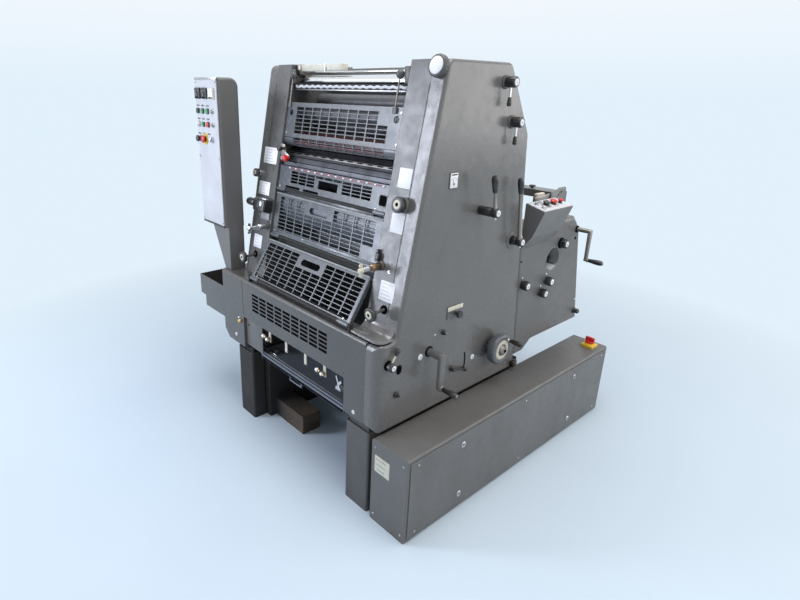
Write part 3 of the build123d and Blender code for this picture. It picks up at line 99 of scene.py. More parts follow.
def on_side(y, z, x=SIDE):
    """Frame on the operator side."""
    return axes(at(x, y, z), (1, 0, 0), (0, 0, 1))


def on_round(x, axis, r, angle):
    """Frame on a round surface about an axis across the press."""
    out = Vector((0, math.cos(math.radians(angle)), math.sin(math.radians(angle))))
    return axes(at(x, *axis) + out * r, out, (1, 0, 0))


def on_left(x, y, z):
    """Frame on a face that looks to the drive side."""
    return axes(at(x, y, z), (-1, 0, 0), (0, 0, 1))


def on_face(x, y, z):
    """Frame on a face that looks forward."""
    return axes(at(x, y, z), (0, -1, 0), (0, 0, 1))


def on_back(x, y, z):
    """Frame on a face that looks to the rear."""
    return axes(at(x, y, z), (0, 1, 0), (0, 0, 1))


def on_top(x, y, z):
    """Frame on a level face."""
    return axes(at(x, y, z), (0, 0, 1), (0, 1, 0))


class Piece:
    """Gathers shapes with their materials and becomes one object that rides on a body."""

    def __init__(self, name, body="press_frame"):
        self.name = name
        self.body = body
        self.bm = bmesh.new()
        self.materials = []

    def take(self, part, material, place):
        """Moves a small mesh into place and adds it with its material."""
        if material not in self.materials:
            self.materials.append(material)
        index = self.materials.index(material)
        bmesh.ops.recalc_face_normals(part, faces=part.faces)
        for face in part.faces:
            face.material_index = index
            face.smooth = True
        mesh = bpy.data.meshes.new("part")
        part.to_mesh(mesh)
        part.free()
        mesh.transform(place)
        if place.determinant() < 0:
            mesh.flip_normals()
        self.bm.from_mesh(mesh)
        bpy.data.meshes.remove(mesh)

    def turned(self, place, profile, material, segments=28, flutes=0, depth=0.0):
        """Turned shape about the local z axis, from (radius, height) pairs; flutes notch its rim."""
        part = bmesh.new()
        rings = []
        for r, h in profile:
            if r < 1e-6:
                rings.append([part.verts.new((0, 0, h))])
                continue
            ring = []
            for i in range(segments):
                a = 2 * math.pi * i / segments
                cut = depth if flutes and (i * flutes // segments + i) % 2 else 0.0
                ring.append(part.verts.new(((r - cut) * math.cos(a), (r - cut) * math.sin(a), h)))
            rings.append(ring)
        for low, high in zip(rings, rings[1:]):
            for i in range(segments):
                j = (i + 1) % segments
                corners = [low[i % len(low)], low[j % len(low)], high[j % len(high)], high[i % len(high)]]
                unique = list(dict.fromkeys(corners))
                if len(unique) > 2:
                    part.faces.new(unique)
        for ring in (rings[0], rings[-1]):
            if len(ring) > 2:
                part.faces.new(ring)
        self.take(part, material, place)

    def boss(self, place, r, h, chamfer, material, segments=28):
        """Round boss with a chamfered end; the chamfer is taken from its radius and its height."""
        side = [(r, 0), (r, h - chamfer[1]), (r - chamfer[0], h), (0, h)]
        self.turned(place, side, material, segments)

    def slab(self, place, size, material, bevel=0.0, shift=(0, 0, 0), segments=2):
        """Block with rounded edges that stands on its local z = 0 plane."""
        part = bmesh.new()
        bmesh.ops.create_cube(part, size=1.0)
        move = Vector(shift) + Vector((0, 0, size[2] / 2))
        bmesh.ops.scale(part, vec=size, verts=part.verts)
        bmesh.ops.translate(part, vec=move, verts=part.verts)
        if bevel:
            bmesh.ops.bevel(
                part, geom=part.edges[:], offset=bevel, segments=segments, profile=0.5, affect="EDGES",
                clamp_overlap=True,
            )
        self.take(part, material, place)

    def prism(self, place, outline, depth, material, bevel=0.0):
        """Flat outline of (x, y) points drawn out along local z."""
        part = bmesh.new()
        face = part.faces.new([part.verts.new((x, y, 0)) for x, y in outline])
        grown = bmesh.ops.extrude_face_region(part, geom=[face])
        top = [v for v in grown["geom"] if isinstance(v, bmesh.types.BMVert)]
        bmesh.ops.translate(part, vec=(0, 0, depth), verts=top)
        if bevel:
            rim = [e for e in part.edges if all(v in top for v in e.verts)]
            bmesh.ops.bevel(part, geom=rim, offset=bevel, segments=2, profile=0.5, affect="EDGES")
        self.take(part, material, place)

    def tube(self, points, radius, material, sides=12):
        """Round bar along points, with flat ends."""
        part = bmesh.new()
        rings = []
        for k, point in enumerate(points):
            ahead = points[min(k + 1, len(points) - 1)]
            behind = points[max(k - 1, 0)]
            along = (ahead - behind).normalized()
            helper = Vector((0, 0, 1)) if abs(along.z) < 0.9 else Vector((1, 0, 0))
            u = along.cross(helper).normalized()
            v = along.cross(u)
            angles = [2 * math.pi * i / sides for i in range(sides)]
            rings.append(
                [part.verts.new(point + radius * (math.cos(a) * u + math.sin(a) * v)) for a in angles],
            )
        for low, high in zip(rings, rings[1:]):
            for i in range(sides):
                j = (i + 1) % sides
                part.faces.new((low[i], low[j], high[j], high[i]))
        part.faces.new(rings[0])
        part.faces.new(rings[-1])
        self.take(part, material, Matrix.Identity(4))

    def done(self, slot, *replaced):
        """Makes the object, shades it smooth up to sharp edges and lets it ride on its body."""
        mesh = bpy.data.meshes.new(self.name)
        self.bm.to_mesh(mesh)
        self.bm.free()
        for material in self.materials:
            mesh.materials.append(material)
        mesh.set_sharp_from_angle(angle=math.radians(38))
        piece = bpy.data.objects.new(self.name, mesh)
        bpy.context.scene.collection.objects.link(piece)
        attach(piece, self.body)
        if replaced:
            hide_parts(*replaced)
        return piece


def arc(x, y, r, start, end, steps):
    """Points round a centre, from one angle in degrees to another."""
    angles = [math.radians(start + (end - start) * k / steps) for k in range(steps + 1)]
    return [(x + r * math.cos(a), y + r * math.sin(a)) for a in angles]


def rounded(w, h, r, steps=5):
    """Outline of a rectangle with round corners about the middle."""
    points = []
    for x, y, start in ((1, 1, 0), (-1, 1, 90), (-1, -1, 180), (1, -1, 270)):
        points += arc(x * (w / 2 - r), y * (h / 2 - r), r, start, start + 90, steps)
    return points


def bolt(piece, place, r, material):
    """Hexagon head on a washer."""
    washer = [(r * 1.55, 0), (r * 1.55, r * 0.2), (r * 1.5, r * 0.26), (0, r * 0.26)]
    piece.turned(place, washer, material, 20)
    head = [(r, 0), (r, r * 0.7), (r * 0.8, r * 0.85), (0, r * 0.85)]
    piece.turned(shifted(place, z=r * 0.24), head, material, 6)


def screw(piece, place, r, material):
    """Low round head with a socket; the socket is a dark hexagon, painted shade."""
    piece.turned(place, [
        (r, 0), (r, r * 0.35), (r * 0.75, r * 0.6), (r * 0.45, r * 0.6), (r * 0.45, r * 0.3), (0, r * 0.3),
    ], material, 18)
    piece.turned(place, [(r * 0.45, r * 0.26), (r * 0.45, r * 0.32), (0, r * 0.32)], dark, 6)


def add(tree, kind, inputs=None, **settings):
    """New shader node with its settings, input values and links."""
    node = tree.nodes.new(kind)
    for key, value in settings.items():
        setattr(node, key, value)
    for key, value in (inputs or {}).items():
        if isinstance(value, bpy.types.NodeSocket):
            tree.links.new(value, node.inputs[key])
        else:
            node.inputs[key].default_value = value
    return node


def place_of(tree, stretch=(1, 1, 1)):
    """Coordinates of the piece itself, in metres."""
    coords = add(tree, "ShaderNodeTexCoord").outputs["Object"]
    return add(tree, "ShaderNodeMapping", {"Vector": coords, "Scale": stretch}).outputs[0]


def noise(tree, scale, detail=3.0, stretch=(1, 1, 1), rough=0.55):
    """Noise value, scale in features per metre."""
    inputs = {"Vector": place_of(tree, stretch), "Scale": scale, "Detail": detail, "Roughness": rough}
    return add(tree, "ShaderNodeTexNoise", inputs).outputs[0]


def remap(tree, value, low, high, to_low=0.0, to_high=1.0):
    """Value moved from one range to another and held inside it."""
    inputs = {"Value": value, "From Min": low, "From Max": high, "To Min": to_low, "To Max": to_high}
    return add(tree, "ShaderNodeMapRange", inputs).outputs[0]


def math_node(tree, operation, a, b):
    """Two values put together."""
    return add(tree, "ShaderNodeMath", {0: a, 1: b}, operation=operation).outputs[0]


def blend_colour(tree, share, first, second):
    """Colour between two others."""
    node = add(tree, "ShaderNodeMix", data_type="RGBA")
    for index, value in ((0, share), (6, first), (7, second)):
        if isinstance(value, bpy.types.NodeSocket):
            tree.links.new(value, node.inputs[index])
        else:
            node.inputs[index].default_value = value if index == 0 else (*value, 1.0)
    return node.outputs[2]


def tinted(colour, factor):
    """Colour made lighter or darker."""
    return tuple(min(1.0, c * factor) for c in colour)


def new_material(name, metallic=0.0, coat=0.0, specular=0.5):
    """Material with its shader; sockets that are the same all over are set here."""
    material = bpy.data.materials.new(name)
    material.use_nodes = True
    tree = material.node_tree
    shader = tree.nodes["Principled BSDF"]
    shader.inputs["Metallic"].default_value = metallic
    shader.inputs["Coat Weight"].default_value = coat
    shader.inputs["Coat Roughness"].default_value = 0.2
    shader.inputs["Specular IOR Level"].default_value = specular
    return material, tree, shader


def edge_mask(tree, radius):
    """Softened normal near edges, and how close an edge is."""
    soft = add(tree, "ShaderNodeBevel", {"Radius": radius}, samples=4).outputs[0]
    plain = add(tree, "ShaderNodeNewGeometry").outputs["Normal"]
    same = add(tree, "ShaderNodeVectorMath", {0: soft, 1: plain}, operation="DOT_PRODUCT").outputs["Value"]
    return soft, remap(tree, same, 0.97, 0.8)


def enamel(name, colour, rough=0.36, hammer=0.2, wear_and_highlight=0.5, grime=0.5, edge=0.003, coat=0.0, specular=0.5):
    """Hammered machine enamel: uneven tone, edges lightened in patches as wear and painted highlight, grime
    low down.
    """
    material, tree, shader = new_material(name, coat=coat, specular=specular)
    broad = remap(tree, noise(tree, 2.4, 4), 0.3, 0.7)
    fine = remap(tree, noise(tree, 150, 2), 0.3, 0.7)
    tone = blend_colour(tree, broad, tinted(colour, 0.9), tinted(colour, 1.09))
    tone = blend_colour(tree, math_node(tree, "MULTIPLY", fine, 0.13), tone, tinted(colour, 0.62))
    height = add(tree, "ShaderNodeSeparateXYZ", {0: place_of(tree)}).outputs[2]
    low = remap(tree, height, 0.42, 0.0)
    smear = remap(tree, noise(tree, 9, 5, (1, 1, 0.45)), 0.42, 0.72)
    dirt = math_node(
        tree, "MULTIPLY", math_node(tree, "ADD", math_node(tree, "MULTIPLY", low, 0.55), 0.22), smear,
    )
    tone = blend_colour(tree, math_node(tree, "MULTIPLY", dirt, grime), tone, (0.05, 0.045, 0.038))
    # Near edges the tone turns lighter in patches: partly wear, partly a painted highlight along the edges.
    soft, near = edge_mask(tree, edge)
    patchy = remap(tree, noise(tree, 45, 4), 0.46, 0.62)
    worn = math_node(tree, "MULTIPLY", math_node(tree, "MULTIPLY", near, patchy), wear_and_highlight)
    tone = blend_colour(tree, worn, tone, (0.36, 0.365, 0.37))
    tree.links.new(tone, shader.inputs["Base Color"])
    gloss = remap(tree, noise(tree, 26, 4), 0.3, 0.7, rough - 0.05, rough + 0.1)
    tree.links.new(gloss, shader.inputs["Roughness"])
    cell_inputs = {"Vector": place_of(tree), "Scale": 210.0, "Smoothness": 1.0}
    cells = add(tree, "ShaderNodeTexVoronoi", cell_inputs, feature="SMOOTH_F1").outputs["Distance"]
    waves = noise(tree, 14, 2)
    relief = math_node(tree, "ADD", cells, math_node(tree, "MULTIPLY", waves, 1.4))
    bump = add(
        tree, "ShaderNodeBump", {"Strength": hammer, "Distance": 0.0012, "Height": relief, "Normal": soft},
    )
    tree.links.new(bump.outputs[0], shader.inputs["Normal"])
    return material


def metal(name, colour, rough=0.28, streak=(1, 1, 1), tarnish=(0.2, 0.17, 0.13), dirt=0.35, scale=60):
    """Machined or polished metal with streaks and dull patches."""
    material, tree, shader = new_material(name, metallic=1.0)
    patch = remap(tree, noise(tree, 12, 5), 0.5, 0.75)
    tone = blend_colour(tree, math_node(tree, "MULTIPLY", patch, dirt), colour, tarnish)
    tree.links.new(tone, shader.inputs["Base Color"])
    lines = noise(tree, scale, 3, streak)
    tree.links.new(remap(tree, lines, 0.25, 0.75, rough * 0.7, rough * 1.5), shader.inputs["Roughness"])
    bump = add(tree, "ShaderNodeBump", {"Strength": 0.12, "Distance": 0.0004, "Height": lines})
    tree.links.new(bump.outputs[0], shader.inputs["Normal"])
    return material


def plastic(
        name, colour, rough=0.35, grain=0.12, dust=0.25, scale=320, edge=0.0012,
        dust_colour=(0.3, 0.29, 0.27),
        specular=0.5,
):
    """Moulded plastic or rubber: fine grain, handling marks and a little dust."""
    material, tree, shader = new_material(name, specular=specular)
    marks = remap(tree, noise(tree, 38, 5), 0.48, 0.74)
    broad = remap(tree, noise(tree, 7, 3), 0.3, 0.7)
    tone = blend_colour(tree, broad, tinted(colour, 0.88), tinted(colour, 1.08))
    tone = blend_colour(tree, math_node(tree, "MULTIPLY", marks, dust), tone, dust_colour)
    tree.links.new(tone, shader.inputs["Base Color"])
    tree.links.new(
        remap(tree, noise(tree, 60, 3), 0.3, 0.7, rough - 0.06, rough + 0.12), shader.inputs["Roughness"],
    )
    soft = edge_mask(tree, edge)[0]
    bump = add(tree, "ShaderNodeBump", {
        "Strength": grain, "Distance": 0.0005, "Height": noise(tree, scale, 2), "Normal": soft,
    })
    tree.links.new(bump.outputs[0], shader.inputs["Normal"])
    return material


def rusted(name):
    """Rusty brown casting with scale."""
    material, tree, shader = new_material(name)
    big = remap(tree, noise(tree, 9, 6), 0.35, 0.68)
    small = remap(tree, noise(tree, 70, 6), 0.35, 0.7)
    tone = blend_colour(tree, big, (0.034, 0.028, 0.021), (0.11, 0.068, 0.034))
    tone = blend_colour(tree, math_node(tree, "MULTIPLY", small, 0.6), tone, (0.09, 0.075, 0.06))
    across = add(tree, "ShaderNodeSeparateXYZ", {0: place_of(tree)}).outputs[0]
    tone = blend_colour(tree, remap(tree, across, MID_X - 0.29, MID_X - 0.11), (0.014, 0.014, 0.014), tone)
    tree.links.new(tone, shader.inputs["Base Color"])
    tree.links.new(remap(tree, small, 0, 1, 0.62, 0.92), shader.inputs["Roughness"])
    relief = math_node(tree, "ADD", big, math_node(tree, "MULTIPLY", small, 0.5))
    bump = add(tree, "ShaderNodeBump", {"Strength": 0.5, "Distance": 0.002, "Height": relief})
    tree.links.new(bump.outputs[0], shader.inputs["Normal"])
    return material


# Colours are linear
GREY = (0.139, 0.136, 0.133)
ACROSS = (0.02, 1, 1)     # streaks that run along X, as on a turned roller

paint = enamel("grey_enamel", GREY)
paint_cover = enamel("cover_enamel", tinted(GREY, 1.05), rough=0.22, hammer=0.1)
# Darker copy of the grey enamel for the low front cover, drive cover and tray, which face away from the
# light: painted shade.
shaded_front_paint = enamel("front_enamel_painted_shade", tinted(GREY, 0.66), rough=0.3, hammer=0.15)
paint_frame = enamel("frame_enamel", tinted(GREY, 0.8), rough=0.29, hammer=0.06, grime=0.3)
paint_guard = enamel("guard_enamel", (0.112, 0.122, 0.136), rough=0.25, hammer=0.06, edge=0.0012, wear_and_highlight=0.35)
paint_dark = enamel("base_enamel", tinted(GREY, 0.62), rough=0.42, grime=0.9, wear_and_highlight=0.7)
# Much darker copy of the grey enamel for the left leg, base walls, tie, rails, pan and hinge rods, which
# lie in shade: painted shade.
shaded_low_paint = enamel("low_enamel_painted_shade", tinted(GREY, 0.24), rough=0.6, grime=1.0, specular=0.2)
paint_board = enamel("board_enamel", (0.135, 0.155, 0.185), rough=0.35, hammer=0.1, wear_and_highlight=0.8)
# Light enamel for light grey parts; also laid as thin strips on guard edges and seams, and on the feeder
# recess wall, as painted highlight.
light_paint_and_highlight = enamel("light_enamel_and_painted_highlight", (0.3, 0.31, 0.31), rough=0.35, hammer=0.15, wear_and_highlight=0.4)
rust = rusted("rusty_casting")
steel = metal("machined_steel", (0.52, 0.52, 0.53), 0.3, ACROSS)
bright = metal("polished_steel", (0.72, 0.72, 0.74), 0.18, ACROSS, dirt=0.15)
plate_metal = metal("printing_plate", (0.085, 0.088, 0.095), 0.46, ACROSS, (0.03, 0.03, 0.035), dirt=0.9)
chrome = metal("chrome", (0.84, 0.84, 0.86), 0.09, ACROSS, dirt=0.06)
brass = metal("brass", (0.62, 0.44, 0.2), 0.3, dirt=0.3)
brown_metal = metal("bronzed_steel", (0.24, 0.17, 0.11), 0.38, dirt=0.4)
black = plastic("black_plastic", (0.016, 0.016, 0.017), 0.3)
rubber = plastic("dark_rubber", (0.03, 0.031, 0.034), 0.42, grain=0.2, dust=0.3)
worn = metal("worn_steel", (0.27, 0.25, 0.23), 0.4, tarnish=(0.12, 0.1, 0.08), dirt=0.6)
faint = plastic("label_print", (0.5, 0.51, 0.54), 0.5, grain=0.02, dust=0.1)
roller_grey = plastic("grey_roller", (0.105, 0.108, 0.118), 0.34, grain=0.05, dust=0.2)
blanket = plastic("blanket_rubber", (0.15, 0.168, 0.195), 0.26, grain=0.05, dust=0.1)
ink = plastic(
    "inked_rubber", (0.085, 0.016, 0.018), 0.26, grain=0.05, dust=0.4, scale=90,
    dust_colour=(0.03, 0.02, 0.02),
)
cream = plastic("cream_plastic", (0.66, 0.62, 0.5), 0.38, dust=0.3)
white = plastic(
    "white_panel", (0.6, 0.61, 0.645), 0.36, grain=0.03, dust=0.16, dust_colour=(0.48, 0.48, 0.48),
)
label = plastic(
    "blank_label", (0.82, 0.83, 0.86), 0.45, grain=0.02, dust=0.2, dust_colour=(0.55, 0.55, 0.56),
)
cream_label = plastic("cream_label", (0.62, 0.6, 0.5), 0.45, grain=0.02, dust=0.35)
gloss = enamel("gloss_tray", tinted(GREY, 1.25), rough=0.11, hammer=0.03, wear_and_highlight=0.2, grime=0.2, coat=0.6)
# Near-black without reflection: print marks, and dark sheets for holes, slots, sockets and gaps, which are
# painted shade.
dark = plastic("dark_print_and_painted_shade", (0.006, 0.006, 0.007), 0.8, grain=0.1, dust=0.0, specular=0.0)
glass = plastic("meter_window", (0.012, 0.013, 0.015), 0.1, grain=0.0, dust=0.06)
red = plastic("red_plastic", (0.62, 0.02, 0.022), 0.28, dust=0.1)
green = plastic("green_lens", (0.05, 0.3, 0.12), 0.22, dust=0.08)
yellow = plastic("yellow_plastic", (0.8, 0.5, 0.02), 0.32, dust=0.15)
pink = plastic("red_paint_strip", (0.42, 0.06, 0.09), 0.45, dust=0.35)

CAD_FINISH = {
    paint: (
        "left_feeder_panel", "right_feeder_panel", "electrical_cabinet", "cabinet_door", "console_pillar",
        "console_pedestal", "rear_cover", "feeder_console",
    ),
    paint_cover: ("left_side_cover", "right_side_cover"),
    # Low front, drive cover and tray in the darker copy of the enamel: painted shade.
    shaded_front_paint: ("front_cover", "drive_cover", "side_tray"),
    paint_frame: ("left_side_frame", "right_side_frame", "cross_panel", "feed_board", "feeder_head"),
    paint_guard: ("delivery_guard", "blanket_guard", "plate_guard", "top_guard"),
    paint_dark: ("right_front_leg", "cabinet_brackets", "ink_fountain"),
    # Parts that lie in shade, in the much darker copy of the enamel: painted shade.
    shaded_low_paint: (
        "left_front_leg", "left_base_wall", "right_base_wall", "base_tie", "pile_rails", "water_pan",
        "guard_hinge_rods",
    ),
    paint_board: ("delivery_pile_board", "feeder_pile_board"),
    rust: ("base_beam",),
    white: ("console_face", "side_plates"),
    black: (
        "console_meters", "console_buttons", "register_knobs", "feeder_knobs", "front_knobs",
        "feeder_console_buttons",
    ),
    gloss: ("ledge_pad",),
    plate_metal: ("plate_cylinder",),
    chrome: ("water_roller", "top_tie_rod"),
    cream: ("sheet_guides",),
    blanket: ("blanket_cylinder",),
    ink: ("ink_form_roller",),
    roller_grey: ("inking_rollers",),
    steel: (
        "impression_cylinder", "side_joggers", "handwheel", "delivery_crank", "feeder_crank", "press_lever",
        "air_lever",
    ),
    yellow: ("main_switch_base",),
    red: ("main_switch_knob",),
}
for material, names in CAD_FINISH.items():
    for name in names:
        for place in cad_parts[name].material_slots:
            place.material = material


UP = Matrix.Rotation(-math.pi / 2, 4, "X")      # turns the local z axis to where y was
DOWN = Matrix.Rotation(math.pi / 2, 4, "X")     # turns it the other way
BACKWARD = Matrix.Rotation(math.pi, 4, "Y")     # turns it round


def shifted(place, x=0.0, y=0.0, z=0.0):
    """Frame moved along its own axes."""
    return place @ Matrix.Translation((x, y, z))


def spun(place, degrees):
    """Frame turned about its own z axis."""
    return place @ Matrix.Rotation(math.radians(degrees), 4, "Z")


def capped_knob(piece, place, r, h, cap, flutes=0):
    """Black knob on a collar, with a coloured cap set into its face."""
    piece.turned(place, [(r * 0.62, 0), (r * 0.62, h * 0.18), (0, h * 0.18)], steel, 24)
    body = [
        (r * 0.82, h * 0.1), (r * 0.97, h * 0.16), (r, h * 0.26), (r, h * 0.84), (r * 0.95, h * 0.95),
        (r * 0.84, h), (r * 0.68, h), (r * 0.66, h * 0.96), (0, h * 0.96),
    ]
    piece.turned(place, body, black, 48, flutes, r * 0.05)
    face = [(r * 0.64, h * 0.93), (r * 0.64, h * 0.985), (r * 0.6, h * 1.005), (0, h * 1.012)]
    piece.turned(place, face, cap, 32)
    piece.turned(place, [(r * 0.26, h), (r * 0.26, h * 1.02), (0, h * 1.025)], faint, 24)


def grip_profile(r, length):
    """Side of a pear-shaped handle."""
    shares = (
        (0.62, 0), (0.72, 0.04), (0.8, 0.2), (0.96, 0.5), (1, 0.72),
        (0.94, 0.88), (0.7, 0.97), (0.3, 1), (0, 1),
    )
    return [(r * a, length * b) for a, b in shares]


# Handwheel
WHEEL_Y, WHEEL_Z, WHEEL_R, WHEEL_H = 0.66, 0.535, 0.066, 0.062
WHEEL_GRIP_AT, WHEEL_GRIP_R, WHEEL_GRIP_LEN = 0.05, 0.011, 0.066

wheel_place = on_side(WHEEL_Y, WHEEL_Z)
piece = Piece("handwheel_detail", "handwheel")
piece.turned(wheel_place, [(0.034, 0.004), (0.034, 0.016), (0.026, 0.022), (0.026, 0.03)], paint_dark, 40)
piece.turned(wheel_place, [
    (0.024, 0.027), (0.058, 0.027), (0.064, 0.03), (WHEEL_R, 0.035), (WHEEL_R, 0.053), (0.064, 0.058),
    (0.06, 0.061), (0.056, WHEEL_H), (0.047, WHEEL_H), (0.0445, 0.061), (0.0435, 0.058), (0.0, 0.058),
], paint_guard, 72)
piece.turned(wheel_place, [
    (0.0425, 0.057), (0.0425, 0.06), (0.041, 0.0612), (0.027, 0.0612), (0.026, 0.06), (0.026, 0.057),
], cream, 64)
for k in range(40):
    tick = spun(wheel_place, 9 * k)
    from_axis, length = (0.0375, 0.0045) if k % 5 else (0.036, 0.0075)
    piece.slab(shifted(tick, from_axis, 0, 0.0611), (length, 0.0007, 0.0004), dark)
piece.turned(wheel_place, [
    (0.0235, 0.057), (0.023, 0.063), (0.02, 0.068), (0.015, 0.0715), (0.01, 0.073), (0, 0.073),
], worn, 40)
# Dark hexagon in the hub for its socket: painted shade.
piece.turned(wheel_place, [(0.0065, 0.0725), (0.0065, 0.076), (0.0055, 0.0768), (0, 0.0768)], dark, 6)
grip = shifted(spun(wheel_place, 45), WHEEL_GRIP_AT, 0, WHEEL_H - 0.003)
piece.turned(grip, [(0.0085, 0), (0.0085, 0.007), (0.007, 0.009), (0.007, 0.014), (0, 0.014)], steel, 24)
piece.turned(shifted(grip, z=0.008), grip_profile(WHEEL_GRIP_R, WHEEL_GRIP_LEN - 0.006), black, 32)
piece.done("steel", "handwheel")


# Cranks
CRANK_OUT, CRANK_GRIP_R, CRANK_GRIP_LEN = 0.072, 0.012, 0.078


def link(r0, r1, length, steps=10):
    """Outline of an arm that hangs down from the origin, with round ends."""
    return arc(0, 0, r0, 0, 180, steps) + arc(0, -length, r1, 180, 360, steps)


def build_crank(name, place, arm, shaft, foot, tone):
    """Crank: dark ring round its shaft, painted shade of the hole it comes out of; hanging arm and black
    handle.
    """
    crank = Piece(name + "_detail", name)
    crank.turned(place, [
        (shaft + 0.006, 0.0004), (shaft + 0.006, 0.003), (shaft + 0.004, 0.0042), (shaft, 0.0042),
    ], dark, 36)
    crank.turned(place, [(shaft, 0.001), (shaft, CRANK_OUT - 0.01)], tone, 40)
    crank.prism(shifted(place, z=CRANK_OUT - 0.014), link(shaft, foot, arm), 0.014, tone, 0.0035)
    end = shifted(place, y=-arm, z=CRANK_OUT - 0.002)
    crank.turned(end, [(0.0095, 0), (0.0095, 0.005), (0.007, 0.007), (0.007, 0.014)], worn, 24)
    crank.turned(shifted(end, z=0.008), grip_profile(CRANK_GRIP_R, CRANK_GRIP_LEN - 0.01), black, 32)
    crank.turned(shifted(end, z=CRANK_GRIP_LEN - 0.004), [
        (0.006, 0), (0.006, 0.002), (0.0045, 0.0032), (0, 0.0034),
    ], worn, 20)
    crank.turned(shifted(place, y=-arm, z=CRANK_OUT - 0.0165), [
        (0, 0), (0.006, 0.0005), (0.006, 0.004),
    ], worn, 20)
    crank.done("steel", name)


build_crank("delivery_crank", on_side(0.262, 0.63), arm=0.125, shaft=0.015, foot=0.0135, tone=paint)
build_crank("feeder_crank", on_side(1.272, 0.948, FEED), arm=0.135, shaft=0.0105, foot=0.0075, tone=worn)


# Levers
LEVER_LEAN = 10
LEVER_GRIP_LEN = 0.058
AIR_LEVER_AT = (0.726, 0.985)


def build_lever(name, y, z, arm, out, shank, thick):
    """Lever: black hub with a pale ringed cap, tapering arm, black grip and a short pin below."""
    place = on_side(y, z)
    lever = Piece(name + "_detail", name)
    lever.turned(place, [
        (0.015, 0.001), (0.0172, 0.004), (0.0172, out - 0.03), (0.016, out - 0.028), (0.016, out - 0.024),
        (0.0175, out - 0.022), (0.0175, out - 0.004), (0.016, out - 0.001), (0.0125, out),
        (0.012, out - 0.002), (0, out - 0.002),
    ], black, 48, 24, 0.0006)
    lever.turned(place, [
        (0.0118, out - 0.003), (0.0118, out + 0.0006), (0.0108, out + 0.0016), (0, out + 0.0018),
    ], label, 36)
    lever.turned(place, [(0.0045, out + 0.001), (0.0045, out + 0.0026), (0, out + 0.0028)], faint, 24)
    upright = spun(shifted(place, z=out - 0.0145), LEVER_LEAN) @ UP
    lever.turned(upright, [
        (thick * 1.35, 0.012), (thick * 1.35, 0.022), (thick * 1.05, 0.027),
        (thick * 0.78, arm - LEVER_GRIP_LEN - 0.006), (thick * 1.0, arm - LEVER_GRIP_LEN),
        (0, arm - LEVER_GRIP_LEN),
    ], shank, 24)
    lever.turned(
        shifted(upright, z=arm - LEVER_GRIP_LEN - 0.004), grip_profile(0.0125, LEVER_GRIP_LEN + 0.004),
        black, 32,
    )
    lever.turned(upright, [
        (0.0, -0.0262), (0.0042, -0.0255), (0.005, -0.0235), (0.005, -0.014),
    ], bright, 24)
    lever.done("steel", name)


build_lever("press_lever", 0.492, 1.138, arm=0.138, out=0.082, shank=worn, thick=0.0056)
build_lever("air_lever", *AIR_LEVER_AT, arm=0.262, out=0.052, shank=worn, thick=0.0082)


# Knobs and plates on the operator side
REGISTER_KNOBS = ((0.57, 1.583), (0.632, 1.447))
FEEDER_KNOBS = ((1.14, 0.903), (0.857, 0.762), (1.055, 0.74), (1.017, 0.691))
GAUGE_AT, PLATE_AT, SMALL_LEVER_AT = (0.325, 1.261), (0.396, 0.759), (0.048, 0.642)

piece = Piece("side_control_detail")
for y, z in REGISTER_KNOBS:
    place = on_side(y, z)
    piece.boss(place, 0.0235, 0.006, (0.0025, 0.002), paint_dark, 36)
    capped_knob(piece, shifted(place, z=0.004), 0.019, 0.042, label, 24)
    hang = shifted(place, z=0.023) @ DOWN
    piece.turned(hang, [(0.0038, 0.01), (0.0038, 0.055)], bright, 16)
    piece.turned(shifted(hang, z=0.05), grip_profile(0.0082, 0.031), black, 28)
for k, (y, z) in enumerate(FEEDER_KNOBS):
    place = on_side(y, z, FEED)
    if k == 0:
        piece.boss(place, 0.025, 0.0042, (0.0015, 0.0012), dark, 44)
    capped_knob(piece, place, 0.021, 0.032, label, 24)
gauge = on_side(*GAUGE_AT)
piece.prism(gauge, rounded(0.044, 0.056, 0.004), 0.003, paint_dark, 0.0008)
piece.prism(shifted(gauge, z=0.0025), rounded(0.039, 0.051, 0.003), 0.0014, label, 0.0004)
piece.slab(shifted(gauge, 0, 0.02, 0.0037), (0.03, 0.004, 0.0006), dark)
dial = shifted(gauge, y=-0.012, z=0.0037)
for k in range(9):
    tick = spun(dial, 20 * (k - 4))
    piece.slab(shifted(tick, y=0.0215), (0.0009, 0.0035 if k % 2 else 0.0055, 0.0005), dark)
hand = spun(shifted(dial, z=0.0002), 24)
piece.slab(shifted(hand, y=0.009), (0.0016, 0.02, 0.0007), red)
piece.turned(dial, [(0.0035, 0), (0.0035, 0.0012), (0, 0.0016)], black, 20)
plate = on_side(*PLATE_AT)
piece.prism(plate, rounded(0.092, 0.05, 0.004), 0.003, paint_frame, 0.0008)
piece.prism(shifted(plate, 0, 0.0155, 0.0028), rounded(0.09, 0.017, 0.002), 0.001, cream_label, 0.0003)
for x in (-0.04, 0.04):
    screw(piece, shifted(plate, x, -0.02, 0.003), 0.0026, steel)
stem = shifted(plate, 0.004, -0.008, 0.003)
piece.turned(stem, [(0.0085, 0), (0.0085, 0.003), (0.0055, 0.0045), (0.0055, 0.014)], black, 24)
piece.turned(shifted(stem, z=0.01), [
    (0.0085, 0), (0.0135, 0.002), (0.0145, 0.005), (0.0145, 0.012), (0.013, 0.0155), (0, 0.0165),
], black, 48, 24, 0.0007)
place = on_side(*SMALL_LEVER_AT)
piece.boss(place, 0.019, 0.006, (0.002, 0.002), dark, 36)
capped_knob(piece, shifted(place, z=0.005), 0.0165, 0.026, label, 24)
arm = spun(shifted(place, z=0.012), -35) @ UP
piece.turned(arm, [(0.004, 0.01), (0.0034, 0.046)], cream, 16)
piece.turned(shifted(arm, z=0.042), grip_profile(0.0082, 0.028), black, 28)
piece.done("black_plastic", "side_plates", "register_knobs", "feeder_knobs")


